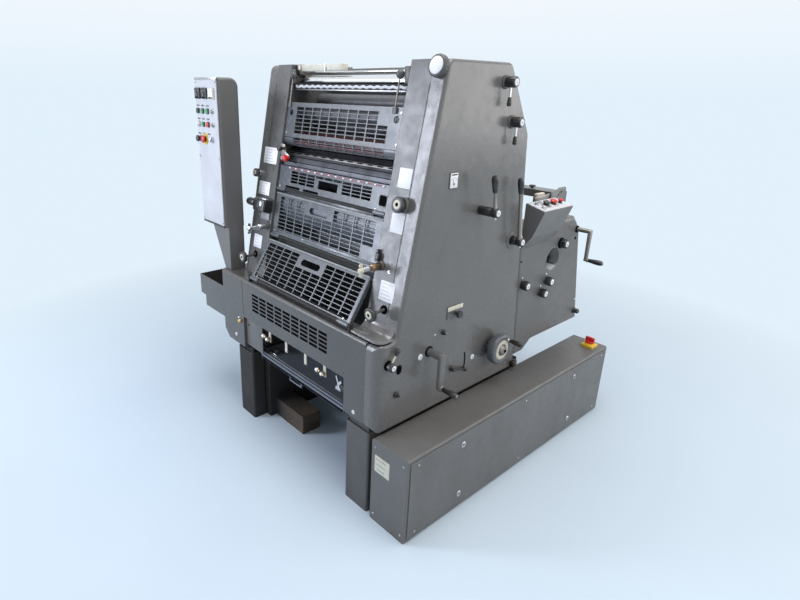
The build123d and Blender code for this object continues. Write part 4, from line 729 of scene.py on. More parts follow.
# Console on the drive side
CON_FACE_Y, CON_X0, CON_X1, CON_Z0, CON_Z1 = 0.0, -0.752, -0.54, 0.93, 1.592
METER_X = (-0.718, -0.654, -0.588)
METER_Z = 1.525

piece = Piece("console_controls")
for k, x in enumerate(METER_X):
    place = on_face(x, CON_FACE_Y, METER_Z)
    piece.prism(place, rounded(0.047, 0.047, 0.003), 0.008, black if k < 2 else cream, 0.0012)
    piece.prism(
        shifted(place, 0, 0.002, 0.0075), rounded(0.039, 0.034, 0.002), 0.0018, glass if k < 2 else label,
        0.0005,
    )
    piece.slab(shifted(place, 0, -0.0185, 0.0075), (0.036, 0.0045, 0.0012), dark)
    dial = shifted(place, y=-0.012, z=0.0092)
    for t in range(7):
        tick = spun(dial, 14 * (t - 3))
        piece.slab(shifted(tick, y=0.0245), (0.0008, 0.0032, 0.0004), label if k < 2 else dark)
    needle = spun(dial, 34 - 20 * k)
    piece.slab(shifted(needle, y=0.011), (0.0009, 0.022, 0.0005), red if k == 2 else label)


def push_button(owner, place, r, cap, ring=None):
    """Round push button in a ring."""
    owner.turned(place, [
        (r * 1.2, 0), (r * 1.2, 0.003), (r * 1.1, 0.0045), (r * 0.92, 0.0045), (r * 0.9, 0.002), (0, 0.002),
    ], ring or steel, 32)
    owner.turned(place, [(r * 0.86, 0.001), (r * 0.86, 0.008), (r * 0.78, 0.0098), (0, 0.0105)], cap, 32)


def square_button(owner, place, size, cap):
    """Square lamp or button in a black bezel."""
    owner.prism(place, rounded(size, size, size * 0.12), 0.004, black, 0.0008)
    owner.prism(shifted(place, z=0.003), rounded(size * 0.8, size * 0.8, size * 0.1), 0.0055, cap, 0.0012)


def mushroom(owner, place, r, cap, surround=None):
    """Mushroom button on a stem, with a flat surround."""
    if surround:
        owner.turned(place, [
            (r * 1.5, 0), (r * 1.5, 0.0016), (r * 1.44, 0.0024), (0, 0.0024),
        ], surround, 40)
    owner.turned(place, [(r * 0.78, 0), (r * 0.78, 0.006), (r * 0.62, 0.008), (r * 0.62, 0.012)], black, 28)
    owner.turned(place, [
        (r * 0.62, 0.0095), (r * 0.93, 0.0105), (r, 0.0125), (r * 0.97, 0.015), (r * 0.8, 0.0178),
        (r * 0.45, 0.0194), (0, 0.0198),
    ], cap, 36)


def selector(owner, place, r, cap, turn):
    """Selector switch with a finger bar."""
    owner.turned(place, [(r * 1.15, 0), (r * 1.15, 0.003), (r * 1.05, 0.0045), (0, 0.0045)], steel, 32)
    owner.turned(place, [(r * 0.88, 0.004), (r * 0.86, 0.0075), (0, 0.008)], cap, 32)
    owner.slab(spun(shifted(place, z=0.007), turn), (r * 0.42, r * 1.7, 0.007), cap, 0.0015)


ROWS = (1.449, 1.391, 1.326)
COLUMNS = (-0.727, -0.682, -0.636, -0.588)


def on_console(column, row, aside=0.0):
    """Frame at a place in the console's rows of buttons."""
    return on_face(COLUMNS[column] + aside, CON_FACE_Y, ROWS[row])


square_button(piece, on_console(0, 0), 0.024, black)
square_button(piece, on_console(1, 0), 0.024, green)
square_button(piece, on_console(2, 0), 0.024, green)
push_button(piece, on_console(3, 0), 0.0095, light_paint_and_highlight)
selector(piece, on_console(0, 1), 0.0125, label, 30)
square_button(piece, on_console(1, 1), 0.022, green)
square_button(piece, on_console(2, 1), 0.024, red)
push_button(piece, on_console(3, 1), 0.0095, light_paint_and_highlight)
mushroom(piece, on_console(0, 2), 0.015, black)
mushroom(piece, on_console(1, 2, 0.008), 0.017, red, yellow)
selector(piece, on_console(3, 2, -0.016), 0.0125, steel, -25)
for row, column in product(range(3), range(3)):
    strip = shifted(on_console(column, row), y=0.0235)
    piece.prism(strip, rounded(0.026, 0.006, 0.001), 0.0008, paint_dark, 0.0002)
middle = (CON_X0 + CON_X1) / 2
piece.slab(on_face(middle, CON_FACE_Y + 0.004, CON_Z1 - 0.005), (0.204, 0.011, 0.006), steel, 0.0012)
piece.slab(on_face(middle, CON_FACE_Y + 0.004, CON_Z0 + 0.005), (0.204, 0.01, 0.005), black, 0.001)
for x, z in product((CON_X0 + 0.013, CON_X1 - 0.013), (CON_Z0 + 0.022, 1.245, CON_Z1 - 0.02)):
    screw(piece, on_face(x, CON_FACE_Y, z), 0.0042, steel)
piece.done("black_plastic", "console_meters", "console_buttons")


# Knobs and clamps on the front strips
BIG_KNOB_AT, UPPER_KNOB_Z = (0.482, 1.623), 1.1794
STALK_X, STALK_Z, STALK_LEN, STALK_DROP = (0.429, -0.442), 0.811, 0.059, 2
CLAMP_X, CLAMP_Z = 0.376, 0.957
WING = (
    (0.006, 0.001), (0.013, -0.0015), (0.0205, -0.001), (0.0235, 0.003), (0.024, 0.0095), (0.0225, 0.0145),
    (0.018, 0.016), (0.0115, 0.012), (0.006, 0.0105),
)

piece = Piece("front_knob_detail")
big = on_front(*BIG_KNOB_AT)
piece.turned(big, [
    (0.033, 0), (0.036, 0.003), (0.036, 0.018), (0.034, 0.022), (0.0305, 0.024), (0.029, 0.024),
    (0.028, 0.0225), (0, 0.0225),
], paint_dark, 80, 40, 0.0009)
piece.turned(big, [(0.0275, 0.022), (0.0275, 0.0242), (0.0265, 0.025), (0, 0.0256)], label, 56)


def ringed_knob(owner, place, r, depth, length):
    """Black knob whose face has a cream ring round a socket, drawn as a dark hexagon for painted shade."""
    end = depth + length
    owner.turned(place, [
        (r * 0.8, depth), (r * 0.96, depth + length * 0.08), (r, depth + length * 0.2),
        (r, end - length * 0.22), (r * 0.93, end - length * 0.06), (r * 0.8, end), (r * 0.62, end),
        (r * 0.58, end - length * 0.08), (0, end - length * 0.08),
    ], black, 60, 30, r * 0.045)
    owner.turned(place, [
        (r * 0.57, end - length * 0.1), (r * 0.57, end + 0.0006), (r * 0.54, end + 0.0012),
        (r * 0.27, end + 0.0012), (r * 0.24, end + 0.0004), (r * 0.24, end - length * 0.1),
    ], cream, 48)
    owner.turned(place, [
        (r * 0.22, end - length * 0.1), (r * 0.22, end + 0.0004), (r * 0.16, end + 0.0014),
        (0, end + 0.0014),
    ], dark, 6)


upper = on_front(0.433, UPPER_KNOB_Z)
piece.turned(upper, [(0.027, 0), (0.027, 0.012), (0.0255, 0.0145), (0.02, 0.015)], paint, 56)
ringed_knob(piece, upper, r=0.028, depth=0.013, length=0.023)
drive_upper = on_front(-0.482, UPPER_KNOB_Z)
piece.turned(drive_upper, [(0.014, 0), (0.014, 0.012), (0.0115, 0.0145), (0.011, 0.018)], steel, 36)
ringed_knob(piece, drive_upper, r=0.019, depth=0.015, length=0.021)
for x in STALK_X:
    foot = on_front(x, STALK_Z)
    piece.turned(foot, [
        (0.0165, 0), (0.0165, 0.002), (0.015, 0.0035), (0.0115, 0.0035), (0.0105, 0.0015), (0, 0.0015),
    ], dark, 36)
    stalk = on_face(x, front_y(STALK_Z), STALK_Z) @ Matrix.Rotation(math.radians(STALK_DROP), 4, "X")
    piece.turned(stalk, [
        (0.0058, -0.004), (0.0058, STALK_LEN - 0.012), (0.0095, STALK_LEN - 0.009),
        (0.0095, STALK_LEN + 0.002),
    ], paint_dark, 24)
    ringed_knob(piece, stalk, r=0.026, depth=STALK_LEN - 0.002, length=0.018)
for side, sleeve, wing in ((1, brown_metal, cream), (-1, steel, bright)):
    seat = on_front(side * CLAMP_X, CLAMP_Z)
    piece.turned(seat, [(0.0185, 0), (0.0185, 0.004), (0.0165, 0.0065), (0.0125, 0.0065)], paint_dark, 40)
    place = on_face(side * CLAMP_X, front_y(CLAMP_Z), CLAMP_Z)
    piece.turned(place, [
        (0.012, 0.002), (0.0135, 0.006), (0.0135, 0.044), (0.012, 0.048), (0.0088, 0.049), (0.0088, 0.056),
    ], sleeve, 40)
    piece.turned(place, [(0.0068, 0.05), (0.0068, 0.1)], bright, 24)
    for k in range(16):
        piece.turned(shifted(place, z=0.06 + 0.0018 * k), [
            (0.0064, 0), (0.0076, 0.0009), (0.0064, 0.0018),
        ], steel, 24)
    nut = shifted(place, z=0.089)
    piece.turned(nut, [
        (0.0105, 0), (0.0112, 0.003), (0.0098, 0.012), (0.008, 0.0155), (0, 0.016),
    ], wing, 32)
    for turn in (90, 270):
        blade = spun(nut, turn) @ DOWN
        piece.prism(shifted(blade, z=-0.0022), WING, 0.0044, wing, 0.0012)
piece.done("black_plastic", "front_knobs")

# Blank labels on the strips
piece = Piece("strip_labels")
LABELS = (
    (0.416, 1.2675, 0.06, 0.068), (0.418, 1.114, 0.062, 0.067), (0.4275, 0.876, 0.072, 0.072),
    (-0.4215, 1.264, 0.104, 0.072), (-0.44, 1.117, 0.09, 0.06), (-0.437, 0.8735, 0.066, 0.061),
)
for x, z, w, h in LABELS:
    place = on_front(x, z)
    piece.prism(place, rounded(w, h, 0.003), 0.0008, label, 0.0003)
    if x > 0 and z > 1:
        continue
    lines = 5 if h > 0.065 else 4
    for k in range(lines):
        share = 0.74 - 0.1 * ((k * 3) % 4)
        bar = shifted(place, (share - 0.8) * w / 2, h * (0.36 - 0.72 * k / (lines - 1)), 0.0006)
        piece.slab(bar, (w * share, h * 0.035, 0.0003), faint)
piece.done("white_panel")


# Main switch and cabinet
SWITCH_X, SWITCH_Y, CAB_TOP, CAB_FACE = 0.621, 1.365, 0.357, 0.683
CAB_REAR, CAB_SCREW_R = 1.43, 0.0046
piece = Piece("switch_plate_detail")
base = on_top(SWITCH_X, SWITCH_Y, CAB_TOP)
piece.prism(base, rounded(0.06, 0.06, 0.006), 0.012, yellow, 0.002)
piece.turned(base, [(0.0275, 0.011), (0.0265, 0.0165), (0.0255, 0.018), (0, 0.018)], yellow, 48)
for x, y in product((-0.0245, 0.0245), (-0.0245, 0.0245)):
    screw(piece, shifted(base, x, y, 0.012), 0.003, steel)
piece.done("yellow_plastic", "main_switch_base")

piece = Piece("switch_knob_detail", "main_switch_knob")
top = shifted(base, z=0.0184)
piece.turned(top, [
    (0.0205, 0), (0.022, 0.002), (0.022, 0.008), (0.0205, 0.0105), (0, 0.0108),
], red, 48, 24, 0.0008)
piece.slab(shifted(top, z=0.0095), (0.044, 0.014, 0.0195), red, 0.0035, segments=3)
piece.slab(shifted(top, 0.015, 0, 0.0285), (0.01, 0.0022, 0.0008), label)
piece.done("red_plastic", "main_switch_knob")

piece = Piece("cabinet_detail")
front = on_face(0.556, 0, 0.262)
piece.prism(front, rounded(0.076, 0.07, 0.003), 0.0009, cream_label, 0.0003)
for k in range(3):
    piece.slab(
        shifted(front, -0.006, 0.021 - 0.021 * k, 0.0007), (0.052 - 0.008 * k, 0.0038, 0.0004), light_paint_and_highlight,
    )
for y, z in ((0.3, 0.296), (1.12, 0.296), (0.3, 0.07), (1.12, 0.07)):
    lock = on_side(y, z, CAB_FACE)
    piece.turned(lock, [
        (0.0125, 0), (0.0125, 0.002), (0.0112, 0.0034), (0.0085, 0.0034), (0.008, 0.0022), (0, 0.0022),
    ], steel, 32)
    # Key slot drawn as a dark bar: painted shade.
    piece.slab(spun(shifted(lock, z=0.0018), 40), (0.003, 0.0125, 0.0014), dark, 0.0003)
for y, z in product((0.052, 0.715, 1.378), (0.034, 0.323)):
    screw(piece, on_side(y, z, CAB_FACE), CAB_SCREW_R, steel)
for x, z in product((0.52, 0.661), (0.03, 0.327)):
    screw(piece, on_face(x, 0, z), CAB_SCREW_R, steel)
    screw(piece, on_back(x, CAB_REAR, z), CAB_SCREW_R, steel)
piece.done("steel")


# Feeder console on the operator side
FCON_Y0, FCON_LEN, FCON_OUT = 0.807, 0.22, 0.088
FCON_IN_Z, FCON_OUT_Z = 1.124, 1.102
desk_normal = Vector((FCON_IN_Z - FCON_OUT_Z, 0, FCON_OUT))
desk_middle = at(FEED + FCON_OUT / 2, FCON_Y0 + FCON_LEN / 2, (FCON_IN_Z + FCON_OUT_Z) / 2)
desk = axes(desk_middle, desk_normal, (0, 1, 0))
piece = Piece("feeder_desk_controls")
piece.prism(desk, rounded(0.084, 0.212, 0.004), 0.0022, white, 0.0007)
for x, y in product((-0.036, 0.036), (-0.098, 0.098)):
    screw(piece, shifted(desk, x, y, 0.0022), 0.0034, steel)
mushroom(piece, shifted(desk, 0, -0.035, 0.002), 0.0155, black, light_paint_and_highlight)
mushroom(piece, shifted(desk, 0, 0.02, 0.002), 0.0165, red)
push_button(piece, shifted(desk, 0.018, -0.078, 0.002), 0.0085, white)
push_button(piece, shifted(desk, -0.018, -0.078, 0.002), 0.0085, light_paint_and_highlight)
mushroom(piece, shifted(desk, 0.004, 0.068, 0.002), 0.0105, red)
for y in (-0.035, 0.02, 0.068):
    piece.prism(shifted(desk, -0.032, y, 0.002), rounded(0.008, 0.03, 0.001), 0.0008, paint_dark, 0.0002)
piece.done("white_panel", "feeder_console_buttons")


# Guards and what lies between them
GUARD_OUT = -0.0088       # outer face of the upper guards from the front plane
LIP_R, LIP_ROWS, LIP_COLS, LIP_STEPS = 0.03, 5, 11, 6
LIP_HALF, LIP_TURN, LIP_Z = 0.28, 75, 1.352
DEL_FOOT, DEL_TOP = (0.015, 0.741), (0.1206, 0.9056)
GUARD_W = 0.684
GUARD_SCREW_R = 0.0038
DASHES, DASH_X0, DASH_STEP, DASH_Z = 40, -0.27, 0.015, 1.2275


def on_guard(x, z, out=0.0):
    """Frame on the outer face of the upper guards."""
    return on_front(x, z, GUARD_OUT + out)


def on_lip(x, angle):
    """Frame on the inward bend under the top guard."""
    a = math.radians(angle)
    edge = on_guard(x, LIP_Z, -0.002)
    normal = edge.col[2].xyz
    rise = edge.col[1].xyz
    point = edge.translation - rise * LIP_R * math.sin(a) - normal * LIP_R * (1 - math.cos(a))
    return axes(point, normal * math.cos(a) - rise * math.sin(a), rise * math.cos(a) + normal * math.sin(a))


def on_delivery(x, share, out=0.0):
    """Frame on the lowest guard, by its share of the way up."""
    run = Vector((0, DEL_TOP[0] - DEL_FOOT[0], DEL_TOP[1] - DEL_FOOT[1]))
    normal = Vector((0, -run.z, run.y)).normalized()
    return axes(at(x, *DEL_FOOT) + run * share + normal * out, normal, run)


piece = Piece("top_guard_lip")
step = LIP_TURN / LIP_STEPS
length = LIP_R * math.radians(step) * 1.08
for k in range(LIP_STEPS):
    angle = step * (k + 0.5)
    for i in range(LIP_COLS):
        x = LIP_HALF * (2 * i / (LIP_COLS - 1) - 1)
        piece.slab(on_lip(x, angle), (0.006, length, 0.0025), paint_guard)
    for side in (-1, 1):
        piece.slab(on_lip(side * 0.3145, angle), (0.068, length, 0.0025), paint_guard)
for k in range(LIP_ROWS):
    piece.slab(on_lip(0, LIP_TURN * (k + 1) / LIP_ROWS), (2 * LIP_HALF, 0.003, 0.0025), paint_guard)
for side, z in product((-1, 1), (1.372, 1.478)):
    screw(piece, on_guard(side * 0.338, z), 0.0042, steel)
piece.done("guard_paint")

piece = Piece("plate_guard_detail", "plate_guard")
piece.slab(on_guard(0.02, DASH_Z), (0.6, 0.005, 0.003), paint_guard, 0.0008)
for k in range(DASHES):
    dash = on_guard(DASH_X0 + DASH_STEP * k, DASH_Z, 0.0028)
    piece.slab(dash, (0.0105, 0.0046, 0.001), pink if k % 3 else label, 0.0003)
# The notch opening and the slits are dark sheets: painted shade.
notch = on_guard(0.322, 1.178)
piece.prism(notch, rounded(0.043, 0.044, 0.01), 0.0012, light_paint_and_highlight, 0.0003)
piece.prism(shifted(notch, z=0.0008), rounded(0.037, 0.038, 0.008), 0.0008, dark, 0.0003)
for x in (-0.235, -0.105):
    slit = on_guard(x, 1.1475)
    piece.prism(slit, rounded(0.104, 0.01, 0.0048), 0.001, dark, 0.0002)
for x in (-0.33, 0.29):
    screw(piece, on_guard(x, 1.143), 0.004, steel)
piece.done("guard_paint")

piece = Piece("blanket_guard_detail", "blanket_guard")
# Bead along the top edge in light enamel: a real bead with a painted highlight.
piece.slab(on_guard(0, 1.1115), (GUARD_W, 0.0055, 0.0045), light_paint_and_highlight, 0.0012)
piece.slab(on_guard(0, 0.948), (GUARD_W, 0.014, 0.0014), paint_guard, 0.0006)
for x in (-0.325, -0.11, 0.11, 0.325):
    screw(piece, on_guard(x, 0.948, 0.0014), GUARD_SCREW_R, steel)
piece.done("guard_paint")

piece = Piece("delivery_guard_detail", "delivery_guard")
# Bead along the top edge in light enamel: a real bead with a painted highlight.
piece.slab(on_delivery(0, 0.98, 0.0018), (0.676, 0.006, 0.0045), light_paint_and_highlight, 0.0014)
for side in (-1, 1):
    cheek = on_delivery(side * 0.3375, 0.52, -0.016)
    piece.slab(cheek, (0.0025, 0.165, 0.019), paint_guard, 0.0006)
# Dark line near the guard's foot for the gap below it: painted shadow.
piece.slab(on_delivery(0, 0.085, 0.0018), (0.64, 0.005, 0.0006), dark)
for x in (-0.3, 0.3):
    screw(piece, on_delivery(x, 0.075, 0.002), GUARD_SCREW_R, steel)
piece.done("guard_paint")

# Closing strips: one over the delivery guard, one behind the hinge of the plate guard
LOW_STRIP_Y, LOW_STRIP_W = 0.158, 0.696
HIGH_STRIP_Z, HIGH_STRIP_W, HIGH_STRIP_BEHIND = 1.118, 0.552, 0.021
piece = Piece("guard_gap_strip")
low_strip = on_face(0, LOW_STRIP_Y, 0.906)
piece.slab(low_strip, (LOW_STRIP_W, 0.056, 0.004), paint_frame, 0.001, (0, 0, -0.004))
# Light lip along the strip's lower edge: painted highlight.
piece.slab(on_face(0, 0.154, 0.882), (LOW_STRIP_W, 0.005, 0.006), light_paint_and_highlight, 0.0015)
for x in (-0.33, -0.11, 0.11, 0.33):
    screw(piece, on_face(x, LOW_STRIP_Y, 0.918), 0.0042, steel)
high_strip = on_front(0, HIGH_STRIP_Z, -HIGH_STRIP_BEHIND)
piece.slab(high_strip, (HIGH_STRIP_W, 0.024, 0.002), paint_guard, 0.0006)
piece.done("frame_paint")


# Brackets, seams and bolts on the strips
SEAM_X, SEAM_Z, SEAM_LEN = 0.45, 1.18, 0.8
piece = Piece("strip_detail")
for side in (-1, 1):
    seam = on_front(side * SEAM_X, SEAM_Z)
    piece.slab(seam, (0.0016, SEAM_LEN, 0.0004), dark)
    # Light line beside each dark seam: painted highlight of the cover's edge.
    piece.slab(shifted(seam, side * 0.0016), (0.0012, SEAM_LEN, 0.0006), light_paint_and_highlight)
    bolt(piece, on_front(side * 0.421, 0.946), 0.0045, steel)
bracket = on_front(0.362, 0.984)
piece.slab(bracket, (0.018, 0.03, 0.016), black, 0.003, segments=3)
piece.slab(shifted(bracket, -0.004, 0.018, 0.003), (0.009, 0.022, 0.01), black, 0.002)
box = on_front(-0.402, 1.044)
piece.slab(box, (0.094, 0.058, 0.046), black, 0.007, segments=3)
piece.slab(shifted(box, 0, 0.029, 0.008), (0.08, 0.006, 0.03), bright, 0.0015)
piece.slab(shifted(box, 0.004, -0.048, 0), (0.07, 0.032, 0.006), light_paint_and_highlight, 0.0015)
piece.boss(shifted(box, 0.018, 0.006, 0.045), 0.014, 0.006, (0.003, 0.002), steel, 32)
roll = shifted(box, -0.04, 0.004, 0.034) @ Matrix.Rotation(-math.pi / 2, 4, "Y")
piece.turned(roll, [
    (0.017, 0), (0.018, 0.003), (0.018, 0.054), (0.016, 0.06), (0.01, 0.062), (0, 0.062),
], black, 44, 22, 0.0008)
piece.turned(roll, [(0.0095, 0.061), (0.0095, 0.0635), (0, 0.0645)], worn, 28)
for x in (-0.034, 0.034):
    screw(piece, shifted(box, x, -0.048, 0.006), 0.0045, steel)
piece.done("black_plastic")


# Left bracket with its knobs in front of the cylinders
piece = Piece("window_detail")
arm = on_face(-0.322, 0.199, 1.285)
piece.prism(arm, [
    (-0.026, -0.036), (0.03, -0.03), (0.038, -0.02), (0.036, -0.006), (0.012, 0.004), (0.006, 0.036),
    (-0.026, 0.04),
], 0.006, worn, 0.001)
knob = on_face(-0.286, 0.193, 1.266)
piece.turned(knob, [
    (0.007, 0), (0.007, 0.006), (0.0125, 0.009), (0.0145, 0.016), (0.0135, 0.024), (0.009, 0.028),
    (0, 0.029),
], red, 36)
knob = on_face(-0.322, 0.193, 1.305)
piece.turned(knob, [
    (0.006, 0), (0.006, 0.01), (0.0115, 0.013), (0.012, 0.026), (0.01, 0.03), (0, 0.031),
], black, 40, 20, 0.0006)
piece.boss(on_face(-0.336, 0.193, 1.262), 0.008, 0.006, (0.002, 0.002), bright, 6)
piece.done("steel")


# Dampening unit at the top
PAN_FACE_Y, PAN_Z, BALL_R = 0.2734, 1.5575, 0.0155
TEETH, TEETH_W = 34, 0.67
WATER_AXIS = (0.3115, 1.582)
piece = Piece("dampening_detail")
upper = [(TEETH_W * (k / TEETH - 0.5), 0.0045 if k % 2 else 0.0095) for k in range(TEETH + 1)]
lower = [(x, y - 0.01) for x, y in reversed(upper)]
piece.prism(on_face(0, PAN_FACE_Y, PAN_Z), upper + lower, 0.0022, white, 0.0004)
piece.slab(on_face(0, PAN_FACE_Y, PAN_Z - 0.0105), (0.69, 0.004, 0.003), steel, 0.0008)
for x in (-0.332, 0.306):
    foot = on_guard(x, 1.49, 0.004).translation
    head = on_guard(x, 1.598, 0.006).translation
    piece.tube([foot, head], 0.003, worn, 16)
    ball = axes(head, head - foot, (0, 1, 0))
    piece.turned(shifted(ball, z=-0.01), arc(0, BALL_R, BALL_R, -75, 90, 11), paint_dark, 32)
    piece.slab(on_guard(x, 1.484), (0.02, 0.02, 0.007), paint_dark, 0.001)
piece.slab(on_face(-0.19, 0.318, 1.633), (0.296, 0.026, 0.03), cream_label, 0.004)
piece.slab(on_face(-0.33, 0.322, 1.628), (0.03, 0.04, 0.04), worn, 0.004)
piece.slab(on_face(-0.15, 0.286, 1.633), (0.008, 0.028, 0.004), bright, 0.001)
for side in (-1, 1):
    piece.slab(on_face(side * 0.336, 0.268, 1.6), (0.026, 0.056, 0.01), paint_dark, 0.002)
    hub = axes(at(side * 0.349, *WATER_AXIS), (-side, 0, 0), (0, 0, 1))
    piece.turned(hub, [(0.03, 0), (0.03, 0.006), (0.028, 0.008), (0.0232, 0.008)], paint_dark, 44)
piece.done("steel")

# Thin red roller under the top guard, and the clamp bar of the plate
piece = Piece("red_rider_roller")
rider = on_side(0.232, 1.33, -0.3)
piece.turned(rider, [
    (0.003, -0.045), (0.003, 0), (0.006, 0.001), (0.006, 0.639), (0.003, 0.64), (0.003, 0.648),
], pink, 24)
piece.done("ink_rubber")

PLATE_AXIS, PLATE_R, PLATE_HALF = (0.29, 1.2252), 0.086, 0.335
CLAMP_TURN = 136          # degrees round the cylinder to the clamp bar
CLAMP_SLOTS, CLAMP_SLOT_X0, CLAMP_SLOT_STEP = 12, -0.31, 0.0564
piece = Piece("plate_clamp_detail", "plate_cylinder")
for turn, width, tone in ((0, 0.012, steel), (12, 0.003, dark), (27, 0.003, dark), (40, 0.003, dark)):
    place = on_round(0, PLATE_AXIS, PLATE_R - 0.0012, CLAMP_TURN + turn)
    piece.slab(place, (width, 2 * PLATE_HALF, 0.0019), tone, 0.0004)
for k in range(CLAMP_SLOTS):
    place = on_round(CLAMP_SLOT_X0 + CLAMP_SLOT_STEP * k, PLATE_AXIS, PLATE_R + 0.0005, CLAMP_TURN)
    piece.slab(place, (0.0056, 0.03, 0.0005), dark, 0.0001)
piece.done("polished_steel")


# Small fittings on the operator side
def strip_outline(points, width):
    """Outline of a band of even width along points in a plane."""
    left = []
    right = []
    for k, (x, y) in enumerate(points):
        ahead = points[min(k + 1, len(points) - 1)]
        behind = points[max(k - 1, 0)]
        run = Vector((ahead[0] - behind[0], ahead[1] - behind[1])).normalized()
        left.append((x - run.y * width / 2, y + run.x * width / 2))
        right.append((x + run.y * width / 2, y - run.x * width / 2))
    return left + right[::-1]


def cap_disc(owner, place, r):
    """White plug with a slot."""
    owner.turned(place, [(r, 0), (r, 0.0018), (r * 0.86, 0.003), (0, 0.0034)], label, 32)
    owner.slab(spun(shifted(place, z=0.0029), 35), (r * 0.28, r * 1.3, 0.0007), faint)


piece = Piece("operator_side_detail")
ring = on_side(*AIR_LEVER_AT)
piece.turned(ring, [
    (0.036, 0), (0.036, 0.0016), (0.0345, 0.0024), (0.0185, 0.0024), (0.0185, 0),
], paint, 56)
track = on_side(0.485, 0.516)
bow = [(0.034 * x - 0.03, 0.075 * y) for x, y in arc(0, 0, 1, -34, 34, 17)]
piece.prism(track, strip_outline(bow, 0.008), 0.0006, dark, 0.0002)
latch = on_side(0.405, 0.512)
piece.turned(latch, [
    (0.013, 0), (0.013, 0.004), (0.011, 0.006), (0.011, 0.016), (0.009, 0.019), (0, 0.0195),
], black, 36)
bar = ((0, 0, 0.011), (0.04, -0.014, 0.013), (0.074, -0.026, 0.011))
piece.tube([shifted(latch, *point).translation for point in bar], 0.0044, black, 16)
piece.turned(shifted(latch, 0.074, -0.026), [
    (0.008, 0.0006), (0.008, 0.016), (0.0065, 0.0195), (0, 0.02),
], black, 28)
for y, z, r in ((0.538, 0.519, 0.0115), (0.215, 0.621, 0.012)):
    cap_disc(piece, on_side(y, z), r)
piece.turned(on_side(0.29, 0.69), [(0.0038, 0), (0.0036, 0.0012), (0, 0.0016)], label, 20)
fitting = on_side(0.336, 0.688)
piece.turned(fitting, [
    (0.0105, 0), (0.0105, 0.005), (0.0085, 0.007), (0.0085, 0.015), (0.007, 0.017), (0, 0.017),
], black, 32)
piece.turned(shifted(fitting, z=0.0165), [(0.0055, 0), (0.005, 0.003), (0, 0.0034)], worn, 24)
piece.prism(on_side(0.105, 0.606), rounded(0.026, 0.036, 0.0125, 8), 0.0008, dark, 0.0002)
piece.prism(on_side(0.105, 0.606), rounded(0.03, 0.04, 0.0145, 8), 0.0004, paint_dark)
fitting = on_side(0.094, 0.509)
piece.boss(fitting, 0.0115, 0.009, (0.002, 0.003), black, 32)
piece.boss(shifted(fitting, z=0.0085), 0.005, 0.012, (0.001, 0.002), black, 24)
bump = on_side(0.842, 0.392)
piece.slab(bump, (0.03, 0.03, 0.02), black, 0.004)
piece.done("black_plastic")


# Recess, marks and fittings on the feeder
HOLE_Y, HOLE_Z, HOLE_R, HOLE_DEEP = 1.087, 0.837, 0.0578, 0.0848
piece = Piece("feeder_side_detail")
hole = on_side(HOLE_Y, HOLE_Z, FEED)
# The recess wall is in light enamel so that it looks lit: painted light.
piece.turned(hole, [
    (HOLE_R, -HOLE_DEEP), (HOLE_R, 0.0004), (HOLE_R - 0.002, 0.001), (HOLE_R - 0.003, 0.0002),
    (HOLE_R - 0.003, -HOLE_DEEP),
], light_paint_and_highlight, 72)
# The white strips low in this table stand in for the bright lower wall of the recess: painted highlight.
for angle, deep, size, tone in (
        (-22, 0.052, (0.026, 0.026, 0.016), black), (-2, 0.058, (0.018, 0.02, 0.014), black),
        (-40, 0.034, (0.006, 0.062, 0.004), chrome), (-58, 0.04, (0.024, 0.072, 0.002), label),
        (-78, 0.04, (0.02, 0.072, 0.002), label),
):
    wall = on_round(FEED - deep, (HOLE_Y, HOLE_Z), HOLE_R - 0.0034, angle)
    piece.slab(wall @ BACKWARD, size, tone, 0.0008)
for y, z in ((0.853, 0.794), (1.051, 0.772), (1.013, 0.723), (1.362, 0.575)):
    piece.turned(on_side(y, z, FEED), [(0.0044, 0), (0.0042, 0.0014), (0, 0.0018)], label, 20)
# Small holes drawn as dark discs: painted shade.
for y, z, r in ((1.268, 0.905, 0.0075), (0.828, 0.871, 0.005)):
    piece.turned(on_side(y, z, FEED), [(r, 0), (r * 0.92, 0.0008), (0, 0.0008)], dark, 24)
peg = on_side(1.372, 0.512, FEED)
piece.turned(peg, [
    (0.015, 0), (0.015, 0.004), (0.012, 0.006), (0.012, 0.022), (0.01, 0.025), (0, 0.025),
], black, 32)
cap_disc(piece, shifted(peg, 0.02, 0.006), 0.006)
for y, z in product((0.96, 1.2), (0.5, 0.975)):
    screw(piece, on_side(y, z, FEED), 0.005, worn)
piece.done("black_plastic")


# Delivery: rollers, small brackets and bolts
VENT_X0, VENT_X1, VENT_TOP, VENT_TALL = -0.316, 0.23, 0.67, 0.082
VENT_COLS, VENT_ROWS, VENT_BAR, VENT_H = 9, 5, 0.012, 0.009
piece = Piece("delivery_detail")
for x in (-0.2, 0.2):
    for shift, drop, r in ((-0.031, 0.0, 0.011), (-0.003, 0.008, 0.0088)):
        roll = on_side(0.004, 0.491 - drop, x + shift - 0.009)
        piece.turned(roll, [
            (r * 0.5, -0.002), (r * 0.9, 0), (r, 0.002), (r, 0.012), (r * 0.9, 0.014), (r * 0.5, 0.015),
        ], bright, 32)
        piece.turned(roll, [(r * 0.55, -0.004), (r * 0.55, 0.021), (r * 0.4, 0.022), (0, 0.022)], brass, 24)
    piece.slab(on_face(x - 0.016, 0.012, 0.49), (0.04, 0.006, 0.008), worn, 0.001)
fork = on_face(0.29, 0.016, 0.486)
piece.prism(fork, [
    (-0.02, 0.02), (-0.014, 0.024), (-0.002, 0.0), (0.014, 0.01), (0.018, 0.004), (0.004, -0.012),
    (0.004, -0.03), (-0.01, -0.03), (-0.01, -0.004),
], 0.004, steel, 0.0006)
piece.slab(shifted(fork, -0.002, -0.028, 0), (0.03, 0.014, 0.006), steel, 0.001)
